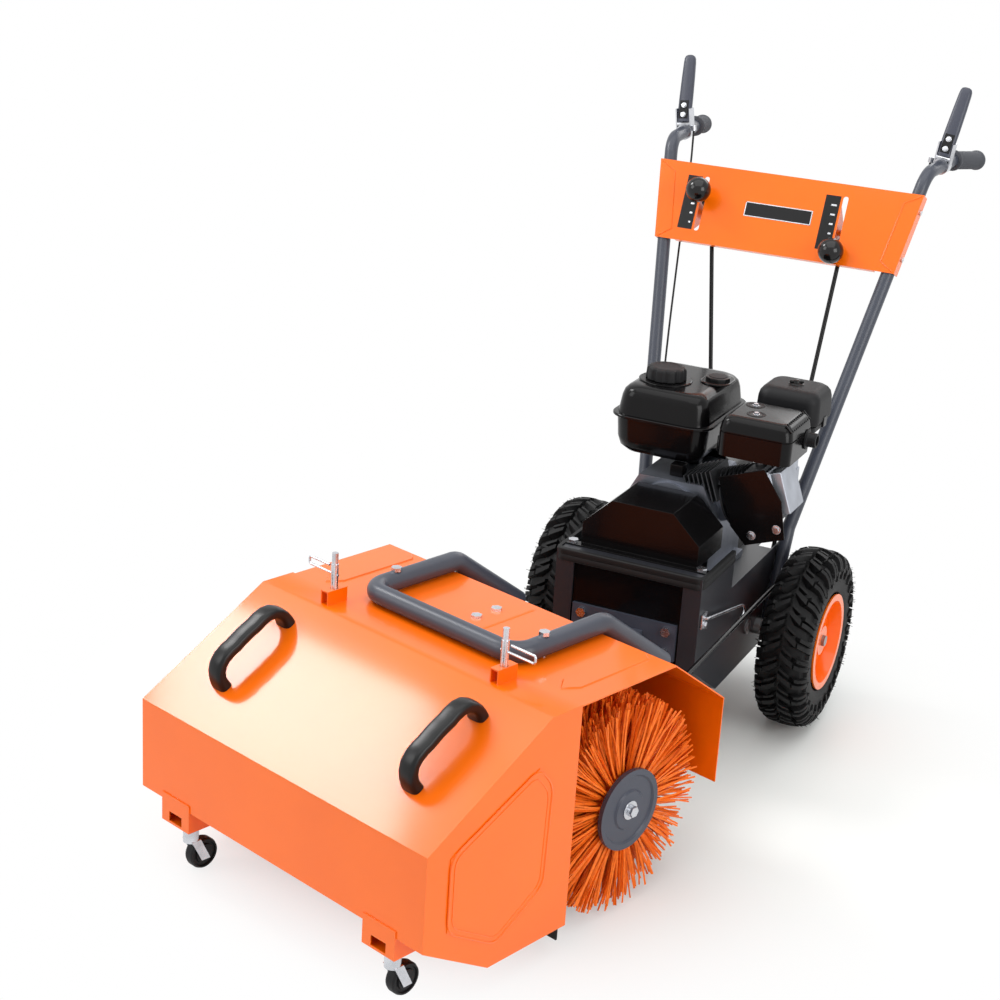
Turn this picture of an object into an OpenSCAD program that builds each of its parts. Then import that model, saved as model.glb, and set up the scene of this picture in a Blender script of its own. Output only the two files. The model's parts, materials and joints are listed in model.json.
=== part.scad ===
// Power brush sweeper: a petrol engine on two driven wheels, with a swivelling brush head,
// a lift-off collecting bin on castors and a push handle with levers.
// Built with Y = 0 at the wheel axle, the front at -Y and the floor at Z = 0.

/* [Head] */
// Angle that the brush head is turned to, in degrees
head_yaw = 17.8; // [12:0.1:19]
// Distance of the head's swivel ahead of the wheel axle
pivot_d = 480; // [470:1:520]
// Height of the flat top of hood and bin
head_top_z = 400; // [390:1:430]
// Thickness of the sheet steel
sheet_t = 2; // [1.5:0.1:3]

/* [Collecting bin] */
// Width of the bin
bin_w = 615; // [605:1:660]
// Front face of the bin, ahead of the swivel
bin_front_y = 678; // [665:1:720]
// Lower edge of the front face
bin_front_low_z = 121.5; // [112:0.5:130]
// Upper edge of the front face
bin_front_high_z = 268.5; // [240:0.5:300]
// Fold between the slope and the flat top, ahead of the swivel
bin_fold_y = 446; // [440:1:470]
// Rear opening of the bin, ahead of the swivel
bin_rear_y = 385; // [380:1:388]
// Lowest fold of the bottom, ahead of the swivel
bin_low_y = 547; // [520:1:570]
// Height of the lowest fold
bin_low_z = 44.5; // [40:0.5:55]
// Length of a carrying handle from foot to foot
handle_l = 153; // [130:1:170]
// Rise of a carrying handle over the slope
handle_h = 50; // [42:1:60]
// Width of a carrying handle
handle_w = 30; // [20:1:36]
// Distance of a carrying handle from the middle
handle_x = 205; // [170:1:230]

/* [Latches] */
// Diameter of a latch pin
pin_d = 12; // [10:0.5:14]
// Length of a latch pin above the flat top
pin_rise = 80; // [70:1:100]
// Distance of a latch pin from the middle
pin_x = 180; // [170:1:200]
// Distance of the latch pins ahead of the swivel
pin_y = 412; // [410:1:416]

/* [Castors] */
// Diameter of a castor wheel
castor_d = 50; // [44:1:54]
// Width of a castor wheel
castor_w = 18; // [14:1:22]
// Distance of a castor from the middle
castor_x = 224; // [200:1:240]
// Distance of a castor's swivel axis behind the front face
castor_in = 28; // [24:1:32]
// Distance of a castor wheel's axle behind its swivel axis
castor_trail = 20; // [15:1:22]

/* [Hood] */
// Width of the hood
hood_w = 612; // [600:1:640]
// Fold between the flat top and the rear slope, ahead of the swivel
hood_fold_y = 175; // [165:1:185]
// Rear wall of the hood, ahead of the swivel
hood_rear_y = 46; // [44:1:52]
// Fold between the rear slope and the rear wall
hood_rear_z = 306.6; // [302:0.1:315]
// Lower edge of the rear wall
hood_low_z = 162.4; // [150:0.1:168]
// Diameter of the push tube
push_d = 32; // [28:1:36]
// Distance of a push tube leg from the middle
push_x = 157; // [140:1:165]
// Front bar of the push tube, ahead of the swivel
push_front_y = 362; // [345:1:366]

/* [Brush] */
// Diameter of the brush
brush_d = 344; // [330:1:348]
// Height of the brush axis
brush_z = 176; // [175:0.5:182]
// Distance of the brush axis ahead of the swivel
brush_y = 238; // [232:1:242]
// Length of the brush over its end discs
brush_l = 586; // [570:1:592]
// Diameter of the brush core
core_d = 96; // [80:1:120]
// Diameter of an end disc
end_disc_d = 129; // [110:1:150]
// Diameter of the brush shaft
brush_shaft_d = 24; // [20:1:26]
// Bristle strands around each half of the brush
strands_around = 20; // [16:1:22]
// Bristle strands along each half of the brush
strands_along = 10; // [8:1:11]
// Width of a bristle strand
strand_d = 3.6; // [2.5:0.1:4]
// Unevenness of the strand ends
strand_ragged = 9; // [4:1:14]

/* [Wheels] */
// Diameter of a tyre
tyre_d = 330; // [324:1:336]
// Width of a tyre
tyre_w = 98; // [90:1:106]
// Distance of a tyre's middle from the machine's middle
wheel_x = 227; // [222:1:240]
// Diameter of a rim over its flanges
rim_d = 178; // [165:1:190]
// Diameter of the axle
axle_d = 20; // [16:0.5:22]
// Tread lugs around one row
lug_count = 18; // [14:1:22]

/* [Chassis] */
// Width over the side plates
chassis_w = 266; // [262:1:280]
// Front of the chassis, ahead of the axle
chassis_front_y = 340; // [336:1:344]
// Rear of the chassis, behind the axle
chassis_rear_y = 130; // [120:1:140]
// Height of the floor plate's underside
chassis_low_z = 118; // [112:0.5:119]
// Height of the engine plate's top
deck_z = 300; // [296:1:310]
// Height of the front box's top
box_top_z = 370; // [360:1:374]
// Thickness of the chassis plates
plate_t = 3; // [2.5:0.1:4]

/* [Drive] */
// Height of the brush drive shaft
drive_z = 221; // [220:0.5:223]
// Height of the engine's crankshaft
crank_z = 406; // [400:1:412]
// Diameter of the drive shafts
shaft_d = 20; // [17:0.5:22]
// Diameter of the crankshaft pulleys
crank_pulley_d = 76; // [66:1:84]
// Diameter of the brush pulley
brush_pulley_d = 100; // [86:1:104]
// Diameter of the drive disc's pulley
disc_pulley_d = 88; // [76:1:90]
// Diameter of the drive disc
drive_disc_d = 110; // [106:1:114]
// Diameter of the friction wheel
friction_d = 92; // [84:1:94]
// Travel of the friction wheel each way from the disc's middle
friction_travel = 45; // [35:1:46]
// Place of the friction wheel off the disc's middle
friction_rest = 14; // [0:1:30]
// Gear tooth module
gear_module = 2.5; // [2.4:0.05:2.6]

/* [Handlebars] */
// Diameter of the handlebar tubes
bar_d = 25; // [22:0.5:28]
// Height of the handlebar corners
bar_corner_z = 968; // [940:1:1000]
// Spread of a handlebar corner from the middle
bar_corner_x = 252; // [240:1:264]
// Backward lean of the handlebars, in degrees from upright
bar_lean = 23; // [21:0.5:25]
// Length of a control panel from top to bottom
panel_h = 152; // [140:1:165]
// Height of the control panel's lower edge
panel_low_z = 787; // [775:1:800]
// Diameter of a lever knob
knob_d = 48; // [40:1:52]
// Length of a hand lever
hand_lever_l = 115; // [100:1:125]
// Width of a hand lever
hand_lever_w = 25; // [20:1:26]

/* [Engine] */
// Length of the fuel tank
tank_l = 242; // [200:1:240]
// Width of the fuel tank
tank_w = 188; // [150:1:172]
// Height of the fuel tank
tank_h = 128; // [100:1:125]
// Height of the tank's top
tank_top_z = 615; // [610:1:630]
// Upward lean of the cylinder, in degrees
cylinder_lean = 20; // [16:1:24]
// Bore of the cylinder
cylinder_bore = 68; // [60:1:72]

/* [Hidden] */
$fn = 48;
// Overrun of a cut past the faces that it opens
over = 1;
// Clearance of a running fit, of a seat and of a loose linkage pivot, on the radius
run = 0.05;
seat = 0.2;
gap = 0.4;
// Core that joins the runs of a bent tube to its elbows
tube_core_share = 0.8;
// Turn in degrees below which a tube has no elbow
slight_turn = 20;
loose = 3;

// Brush head, in places measured ahead of the swivel
bin_rear_z = bin_low_z + sheet_t;
bin_outline = [[-bin_front_y, bin_front_low_z], [-bin_front_y, bin_front_high_z],
  [-bin_fold_y, head_top_z], [-bin_rear_y, head_top_z],
  [-bin_rear_y, bin_rear_z], [-bin_low_y, bin_low_z]];
slope_run = bin_front_y - bin_fold_y;
slope_rise = head_top_z - bin_front_high_z;
slope_lean = atan2(slope_rise, slope_run);
slope_l = norm([slope_run, slope_rise]);
handle_mid_share = 0.56;
handle_t = 14;
handle_foot_t = 6;
handle_foot_l = 24;
handle_lip = 2;
handle_bury_a = 4;
emboss_rise = 1.5;
emboss_points_shares = [[0.15, 0.58], [0.15, 0.26], [0.48, 0.10], [0.80, 0.26], [0.82, 0.70], [0.72, 0.80]];
latch_w = 16;
latch_l = 40;
latch_h = 22;
clip_r = 2;
clip_z_share = 0.56;
pin_end_l = 18;
pin_step = 1;
clip_z = head_top_z + clip_z_share * pin_rise;
clip_l = 46;
clip_bow = 12;
lip_t = 3;
lip_drop = 28;
lip_inset = 12;
castor_y = -bin_front_y + castor_in;
castor_plate_z = bin_front_low_z - 2 * castor_in * (bin_front_low_z - bin_low_z) / (bin_front_y - bin_low_y);
castor_bracket_w = 65;
castor_tab = 12;
castor_window = [30, 16];
castor_stem_r = 7;
castor_fork_t = 2.5;
castor_axle_r = 4;
castor_crown = 4;
fork_top_z = castor_d + castor_crown;
hood_z = head_top_z - sheet_t - seat;
hood_slope = atan2(hood_z - hood_rear_z, hood_fold_y - hood_rear_y);
hood_outline = [[-bin_rear_y + gap, hood_z], [-hood_fold_y, hood_z], [-hood_rear_y, hood_rear_z],
  [-hood_rear_y, hood_low_z]];
tongue_l = 56;
tongue_inset = 14;
beam_t = 24;
beam_near_y = 14;
push_r = push_d / 2;
push_bend = 33;
fold_k = 1 / cos(hood_slope / 2);
push_seat = ceil((push_r + seat + push_bend * (fold_k - 1)) / fold_k - push_r);
push_z = hood_z + push_r + push_seat;
push_apex_y = -hood_fold_y + (push_r + push_seat) * tan(hood_slope / 2);
push_end_y = -beam_near_y;
push_end_z = push_z - (push_end_y - push_apex_y) * tan(hood_slope);
push_bolt_in = 59;
push_bolt_y = -push_front_y + push_bolt_in;
bolt_r = 5;
bolt_head_r = 9;
bolt_head_h = 6;
nut_h = 7;

// Brush and its gearbox
brush_r = brush_d / 2;
brush_shaft_r = brush_shaft_d / 2;
end_disc_t = 7;
case_w = 44;
case_wall = 7;
core_gap = 7;
worm_r = 12;
worm_l = 50;
shaft_r = shaft_d / 2;
worm_lift = drive_z - brush_z;
wheel_r = worm_lift - worm_r / 2;
wheel_w = 26;
case_r = wheel_r + case_wall + worm_r / 4;
neck_r = shaft_r + case_wall + worm_r / 4;
pad_w = 74;
flange_t = 8;
flange_bolt_step = 44;
flange_bolts_y = [-brush_y - flange_bolt_step, -brush_y];

// Swivel: king pins on the boom turn in the yoke of the gearbox, round a ball and cup
ball_r = 14;
cup_r = 20;
neck_shaft_r = 8;
lug_t = 10;
lug_r = 22;
king_r = 8;
lug_gap = 6;
lug_low = cup_r + lug_gap;
yoke_lift = lug_low + lug_t + gap;
yoke_t = 12;
beam_h = 30;
beam_top_z = drive_z + yoke_lift + yoke_t + beam_h;
column_top_z = hood_z - sheet_t - seat;
beam_l = 2 * push_x + push_d;
link_slot_in = 12;
link_arm_t = 6;

// Wheels and axle
axle_r = axle_d / 2;
tyre_r = tyre_d / 2;
rim_r = rim_d / 2;
axle_z = tyre_r;
lug_depth = 12;
lug_l = 24;
lug_skew = 24;
lug_mid_share = 0.5;
lug_w_share = 0.86;
castor_shares = [[0.3, 0.5], [0.32, 0.36], [0.4, 0.36], [0.42, 0.5], [0.47, 0.5], [0.5, 0.3]];
disc_shares = [[0.86, 1], [0.82, 0.6], [0.5, 0.6], [0.46, 1]];
bead_shares = [0.52, 0.62];
wall_shares = [[0.8, 0.86], [0.94, 0.8], [1, 0.5]];
rim_shares = [0.8, 0.86, 0.9];
web_shares = [0.2, 0.32];
recoil_shares = [0.45, 0.7, 0.8];
slot_x_shares = [0.16, 0.68];
slot_y_shares = [0.3, 0.7];
arm_slot_shares = [0.92, 1.3];
side_slot_shares = [0.86, 1.3];
lever_slot_shares = [0.94, 1.2];
bead_w = 60;
rim_t = 3;
hub_r = 24;
hub_out = 45;

// Chassis
half_w = chassis_w / 2;
nose_low_z = 200;
nose_low_y = -208;
step_y = -175;
cover_front_y = -298;
front_flange_w = 30;
front_panel_in = 4;
front_panel_t = 4;
side_outline = [[-chassis_front_y, nose_low_z], [-chassis_front_y, box_top_z], [step_y, box_top_z],
  [step_y, deck_z], [chassis_rear_y, deck_z], [chassis_rear_y, chassis_low_z], [nose_low_y, chassis_low_z]];
bush_wall = 6;
bush_l = 18;
bush_flange_w = 5;
bush_flange_t = 3;
front_panel_y = -chassis_front_y + front_panel_in;
rear_sill_h = 30;
deck_notch_x = 104;
deck_notch_y = 50;
cover_rear_y = -178;
cover_half_w = 107;
cover_shoulder_h = 40;
cover_shoulder_z = box_top_z + cover_shoulder_h;
cover_top_half_w = 56;
cover_h = 89;
cover_top_z = box_top_z + cover_h;
cover_lip = 16;
cover_bolt_x = 118;

// Drive train: pinion and gear set the cross shaft, which sets the drive disc
pinion_teeth = 16;
gear_teeth = 32;
gear_w = 12;
gear_x = 95;
gear_centres = gear_module * (pinion_teeth + gear_teeth) / 2 + gap;
cross_dy = 57.7;
cross_y = -cross_dy;
cross_z = axle_z + sqrt(gear_centres * gear_centres - cross_dy * cross_dy);
cross_r = 8;
friction_r = friction_d / 2;
friction_w = 14;
disc_y = cross_y - friction_r - gap;
drive_disc_t = 8;
disc_shaft_r = 8;
bearing_plate_y = -180;
fork_r = 4;
groove_w = 2 * (fork_r + 1.6);
collar_flange_w = 4;
collar_flange_r = 38;
collar_hub_r = 12.5;
fork_offset = friction_w / 2 + groove_w / 2;
pulley_w = 18;
pulley_lip = 3;
groove_depth = 6;
belt_t = 8;
flywheel_r = 76;
flywheel_t = 26;
flywheel_y = 10;
cross_out = 4;
axle_in = 6;
axle_half_l = wheel_x + hub_out - axle_in;
gear_flank_shares = [[-0.29, -1.2], [-0.11, 0.85], [0.11, 0.85], [0.29, -1.2]];
brush_pulley_y = -262;
disc_pulley_y = -215;
boom_half_w = 36;
boom_wall = 6;
boom_rear_y = -chassis_front_y + front_panel_in - seat;
boom_neck_l = 50;
boom_neck_y = -pivot_d + boom_neck_l;
boom_plate_share = 0.27;
boom_plate_y = boom_neck_y + boom_plate_share * (boom_rear_y - boom_neck_y);
boom_wall_y = -chassis_front_y - seat;
boom_flange_half_w = 96;
boom_flange_h = 66;
boom_up = 24;

// Handlebars and panel
bar_r = bar_d / 2;
bar_bend = 45;
bar_low_x = half_w + bar_r + seat;
bar_low_z = 170;
bar_splay_z = 330;
bar_corner_y = 366;
bar_y = function (z) bar_corner_y - (bar_corner_z - z) * tan(bar_lean);
bar_x = function (z) bar_low_x + (bar_corner_x - bar_low_x) * (z - bar_splay_z) / (bar_corner_z - bar_splay_z);
grip_start_step = [10, 149, 5];
grip_start = [bar_corner_x, bar_corner_y, bar_corner_z] + grip_start_step;
grip_end_step = [33, 262, -7];
grip_end = [bar_corner_x, bar_corner_y, bar_corner_z] + grip_end_step;
grip_r = 16.5;
grip_end_r = 19;
grip_bore_in = 22;
bar_points = [[bar_low_x, bar_y(bar_low_z), bar_low_z], [bar_low_x, bar_y(bar_splay_z), bar_splay_z],
  [bar_corner_x, bar_corner_y, bar_corner_z], grip_start,
  grip_end + grip_bore_in * unit(grip_start - grip_end)];
bar_run = grip_start - bar_points[2];
bracket_share = 0.58;
bracket_at = bar_points[2] + bracket_share * (grip_start - bar_points[2]);
bracket_l = 22;
bracket_t = 3;
lever_tilt = 7.5;
lever_rise = 37;
lever_lean = 22;
lever_pin_r = 4;
lever_depth = 12;
lever_tip_share = 0.72;
ear_t = 2.5;
panel_low = [0, bar_y(panel_low_z), panel_low_z];
panel_front = bar_r + seat;
panel_half = function (v) bar_x(panel_low_z + v * cos(bar_lean)) + bar_r + seat;
panel_hem = 14;
panel_slot_w = 10;
panel_slot_l = 96;
panel_bolt_shares = [0.2, 0.8];
panel_splay = atan((panel_half(panel_h) - panel_half(0)) / panel_h);
speed_slot_x = -158;
angle_slot_x = 117;

// Levers, rods and cranks of the two controls, in the plane of each lever
lever_back = 70;
lever_pivot = [panel_low.y + panel_h / 2 * sin(bar_lean), panel_low_z + panel_h / 2 * cos(bar_lean)]
  + lever_back * [cos(bar_lean), -sin(bar_lean)];
lever_swing = 27.4;
lever_hub_r = 12;
lever_t = 4;
lever_h = 20;
lever_reach = (lever_back + panel_front + sheet_t + knob_d / 2 + gap) / cos(lever_swing);
lever_arm = 62;
lever_blade_share = 1.2;
link_pin_r = 3;
pin_room = 10;
pin_reach_share = 0.36;
link_slot_r = link_pin_r + loose;
rod_r = 4;
eye_r = rod_r + gap;
balance_share = 1.03;
rod_half_travel = lever_arm * tan(lever_swing);
lever_up_mid = lever_pivot + lever_arm * [-cos(bar_lean), sin(bar_lean)];
speed_angle = lever_swing * friction_rest / friction_travel;
crank_t = 5;
crank_w = 18;
crank_pin_r = 6;
angle_rod_x = angle_slot_x + lever_t / 2 + rod_r + 2 * gap;
speed_rod_x = speed_slot_x + lever_t / 2 + 3 * rod_r + 2 * gap;
rod_dir = [sin(bar_lean), cos(bar_lean)];

// Shift crank: hangs behind the deck, its fork pin in the friction wheel's collar
fork_swing = 33.5;
fork_rise = 0.6;
fork_z = cross_z + collar_hub_r + fork_r + fork_rise;
fork_arm = friction_travel / sin(fork_swing);
fork_pivot_x = fork_offset;
fork_pivot_z = fork_z + fork_arm;
fork_angle = fork_swing * friction_rest / friction_travel;
speed_rod_slope_share = 0.95;
fork_side_arm = rod_half_travel * speed_rod_slope_share * balance_share / tan(fork_swing);
fork_crank_out = 20;
fork_crank_y = chassis_rear_y + fork_crank_out;
speed_rod_out = 24;
speed_rod_low_y = fork_crank_y + speed_rod_out;
speed_pin_l = 38;
hanger_t = 6;
hanger_w = 50;
speed_low_mid = [fork_pivot_x - fork_side_arm, speed_rod_low_y, fork_pivot_z];
speed_high_mid = [speed_rod_x, lever_up_mid.x, lever_up_mid.y];
speed_rod_dir = unit(speed_high_mid - speed_low_mid);
speed_rod_rest = rod_half_travel * friction_rest / friction_travel * speed_rod_dir;

// Bell crank on the right side plate, between the angle rod and the link rod
bell_z = 195;
bell_clear = 2;
bell_in_x = angle_rod_x - rod_r - crank_t - 2 * gap;
bell_out_x = bar_low_x + bar_r + bell_clear;
link_arm_x = bell_out_x + crank_t + rod_r + gap;
link_arm_end = link_arm_x + 2 * link_slot_in;
link_half_travel = link_arm_x * tan(head_yaw);
link_z = beam_top_z - beam_h - rod_r - 2 * gap;
bell_up = link_z - bell_z;
bell_swing = atan(link_half_travel * balance_share / bell_up);
bell_back = rod_half_travel * balance_share / tan(bell_swing);
angle_rod_l = (lever_up_mid.y - bell_z - bell_back * sin(bar_lean)) / cos(bar_lean);
angle_low_mid = lever_up_mid - angle_rod_l * rod_dir;
bell_pivot = angle_low_mid + bell_back * [cos(bar_lean), -sin(bar_lean)];

// Hand grips, brackets and cables
grip_in = 8;
grip_rings = 12;
grip_ring_step = 7;
grip_ring_h = 1;
panel_fold = 26;
stop_x = 21;
stop_y = 8;
stop_z = 2;
stop_h = 10;
stop_r = 5;
cable_r = 2;
cable_route = [[238, 444, 984], [237, 443, 972], [235, 438, 950], [230, 424, 920], [222, 396, 870],
  [210, 350, 800],
  [196, 300, 700], [182, 252, 600], [166, 205, 500], [146, 165, 420], [122, 138, 360], [104, 122, 325],
  [97, 113, 310], [96, 112, 300.4]];

// Engine
case_half_w = 82;
case_front_y = -168;
case_rear_y = 0;
case_top_z = 470;
case_top_half_w = 60;
case_shoulder_z = 428;
case_t = 6;
case_foot_in = 14;
case_foot_out = 14;
case_foot_t = 12;
case_outline = [[-case_half_w, deck_z + seat], [-case_half_w, case_shoulder_z],
  [-case_top_half_w, case_top_z],
  [case_top_half_w, case_top_z], [case_half_w, case_shoulder_z], [case_half_w, deck_z + seat]];
pto_boss = 7;
pto_boss_r = 60;
cylinder_y = -100;
barrel_wall = 7;
fin_r = 53;
head_share = 0.96;
fin_t = 3;
fin_step = 8;
fin_count = 7;
fins_at = 96;
head_at = fins_at + fin_count * fin_step;
head_t = 34;
rocker_t = 26;
rocker_lip = 5;
blower_r = 80;
blower_rear_y = 60;
recoil_r = 74;
recoil_t = 34;
eyelet_r = 5;
muffler_size = [112, 110, 62];
muffler_low = [80, -145, 528];
muffler_drop = 22;
exhaust_r = 13;
shield_gap = 10;
shield_slots = 9;
shield_slot_w = 5;
carb = [150, 30, 470];
carb_r = 17;
carb_bowl = 34;
cleaner_low = [84, -8, 545];
cleaner_size = [118, 110, 75];
cleaner_base_h = 26;
cleaner_in = 4;
cleaner_knob_h = 8;
cleaner_knob_r = 12;
tank_x = -138;
tank_y = -150;
tank_seam = 7;
tank_seam_share = 0.57;
tank_dome = 12;
tank_wall = 2;
tank_leg_w = 24;
tank_leg_shares = [0.2, 0.7];
cap_at = [-66, -58];
cap_neck_r = 24;
cap_neck_h = 12;
cap_r = 32;
cap_h = 26;
cap_rib_a = 30;
cap_rib_r = 4;
gauge_at = [14, -8];
gauge_r = 14;
gauge_h = 6;

// The assembly is moved as one so that its origin is under the middle of its box
x_high = max(grip_end.x + grip_end_r, wheel_x + tyre_w / 2);
x_low = min(turned([-bin_w / 2, -bin_front_y]).x, -x_high);
y_low = turned([bin_w / 2, -bin_front_y]).y;
y_high = grip_end.y + grip_end_r;

function turned(p) = [p.x * cos(head_yaw) + p.y * sin(head_yaw),
  p.y * cos(head_yaw) - p.x * sin(head_yaw) - pivot_d];
function unit(v) = v / norm(v);
function line_meet(p, a, q, b) = p + a * cross(q - p, b) / cross(a, b);
// Clockwise outline with each edge moved inwards by its own distance
function inset(pts, d) = let (n = len(pts)) [for (i = [0:n - 1])
  let (o = pts[(i + n - 1) % n], p = pts[i], q = pts[(i + 1) % n], a = unit(p - o), b = unit(q - p))
  line_meet(p + [a.y, -a.x] * d[(i + n - 1) % n], a, p + [b.y, -b.x] * d[i], b)];
// Open outline given a thickness on its right-hand side
function band(pts, t) = let (n = len(pts), dirs = [for (i = [0:n - 2]) unit(pts[i + 1] - pts[i])],
  side = [for (d = dirs) [d.y, -d.x] * t])
  concat(pts, [for (i = [n - 1:-1:0]) i == 0 ? pts[0] + side[0] : i == n - 1 ? pts[i] + side[i - 1]
    : line_meet(pts[i] + side[i - 1], dirs[i - 1], pts[i] + side[i], dirs[i])]);
// Loop of a belt round two wheels, the second one d above the first
function arc(c, r, a, b, n) = [for (i = [0:n]) c + r / cos((b - a) / n / 2) * [cos(a + (b - a) * i / n),
  sin(a + (b - a) * i / n)]];
function loop(r1, r2, d) = let (f = asin((r1 - r2) / d))
  concat(arc([0, 0], r1, 180 - f, 360 + f, 24), arc([0, d], r2, f, 180 - f, 24));

// The whole assembly and the turned head
module place() { translate([-(x_low + x_high) / 2, -(y_low + y_high) / 2, 0]) children(); }
module head() { place() translate([0, -pivot_d, 0]) rotate([0, 0, -head_yaw]) children(); }
module sided(side) {
  if (side < 0) mirror([1, 0, 0]) children();
  else children();
}
module both_sides() {
  children();
  mirror([1, 0, 0]) children();
}
// Outlines in Y and Z drawn out along X, and in X and Z drawn out along Y
module side_prism(points, x0, x1) {
  translate([x0, 0, 0]) rotate([90, 0, 90]) linear_extrude(x1 - x0) polygon(points);
}
module front_prism(points, y0, y1) {
  translate([0, y1, 0]) rotate([90, 0, 0]) linear_extrude(y1 - y0) polygon(points);
}
module box(low, high) { translate(low) cube(high - low); }
module rod(p, q, r) {
  d = q - p;
  translate(p) rotate([0, acos(d.z / norm(d)), atan2(d.y, d.x)]) cylinder(r = r, h = norm(d));
}
module along_x(x0, x1, r, y, z) { rod([x0, y, z], [x1, y, z], r); }
module along_y(y0, y1, r, z) { rod([0, y0, z], [0, y1, z], r); }
module upright(p, z0, z1, r) { translate([p.x, p.y, z0]) cylinder(r = r, h = z1 - z0); }
// Bent tube through points, with round elbows, or a ball at a slight kink
module tube(points, r, bend) {
  n = len(points);
  dirs = [for (i = [0:n - 2]) unit(points[i + 1] - points[i])];
  turns = [for (i = [0:n - 1]) i == 0 || i == n - 1 ? 0 : acos(dirs[i - 1] * dirs[i])];
  cuts = [for (t = turns) t < slight_turn ? 0 : bend * tan(t / 2)];
  for (i = [0:n - 2])
    rod(points[i] + cuts[i] * dirs[i], points[i + 1] - cuts[i + 1] * dirs[i], r);
  for (i = [1:n - 2]) if (turns[i] < slight_turn) translate(points[i]) sphere(r + run);
  else {
    z = unit(cross(dirs[i - 1], dirs[i]));
    y = dirs[i - 1];
    x = cross(y, z);
    c = points[i] - cuts[i] * y - bend * x;
    multmatrix([[x.x, y.x, z.x, c.x], [x.y, y.y, z.y, c.y], [x.z, y.z, z.z, c.z], [0, 0, 0, 1]])
      rotate_extrude(angle = turns[i]) translate([bend, 0]) circle(r);
    for (d = [-dirs[i - 1], dirs[i]]) {
      joint = points[i] + cuts[i] * d;
      rod(joint - r / 3 * d, joint + r / 3 * d, r * tube_core_share);
    }
  }
}
// Slot with round ends through a plate in X and Y
module slot(p, q, r, h) {
  d = q - p;
  translate([p.x, p.y, -over]) {
    cylinder(r = r, h = h + 2 * over);
    rotate([0, 0, atan2(d.y, d.x)]) translate([0, -r, 0]) cube([norm(d), 2 * r, h + 2 * over]);
  }
  translate([q.x, q.y, -over]) cylinder(r = r, h = h + 2 * over);
}
module bar_plate(p, q, r, h) {
  d = q - p;
  translate(p) cylinder(r = r, h = h);
  translate(q) cylinder(r = r, h = h);
  translate(p) rotate([0, 0, atan2(d.y, d.x)]) translate([0, -r, 0]) cube([norm(d), 2 * r, h]);
}

// Brush head
module brush_hood() {
  color("darkorange") head() difference() {
    union() {
      side_prism(band(hood_outline, sheet_t), -hood_w / 2, hood_w / 2);
      box([-bin_w / 2 + tongue_inset, -bin_rear_y - tongue_l, hood_z - sheet_t],
        [bin_w / 2 - tongue_inset, -bin_rear_y + over, hood_z]);
    }
    along_y(-hood_rear_y - 2 * sheet_t, -hood_rear_y + over, neck_r + gap, drive_z);
    for (y = flange_bolts_y) upright([0, y], hood_z - 2 * sheet_t, hood_z + over, bolt_r + gap);
    both_sides() {
      upright([push_x, push_bolt_y], hood_z - 2 * sheet_t, hood_z + over, bolt_r + gap);
      upright([pin_x, -pin_y], hood_z - 2 * sheet_t, hood_z + over, pin_d / 2 + seat);
    }
  }
}

module push_tube() {
  color("dimgray") head() difference() {
    tube([[-push_x, push_end_y, push_end_z], [-push_x, push_apex_y, push_z],
      [-push_x, -push_front_y, push_z], [push_x, -push_front_y, push_z],
      [push_x, push_apex_y, push_z], [push_x, push_end_y, push_end_z]], push_r, push_bend);
    both_sides() upright([push_x, push_bolt_y], hood_z - over, push_z + push_r + over, bolt_r + seat);
    box([-push_x - push_d, push_end_y - push_d, -over],
      [push_x + push_d, push_end_y + push_d, beam_top_z + seat]);
  }
}

module bolt_down(p, z, grip) {
  upright(p, z - grip, z + over, bolt_r);
  translate([p.x, p.y, z]) cylinder(r = bolt_head_r, h = bolt_head_h, $fn = 6);
}

module hood_bolts() {
  color("silver") head() {
    for (y = flange_bolts_y) bolt_down([0, y], hood_z + seat, sheet_t + flange_t);
    both_sides() {
      bolt_down([push_x, push_bolt_y], push_z + push_r, push_d + sheet_t + nut_h);
      translate([push_x, push_bolt_y, hood_z - sheet_t - nut_h - seat])
        cylinder(r = bolt_head_r, h = nut_h, $fn = 6);
    }
  }
}

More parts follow.
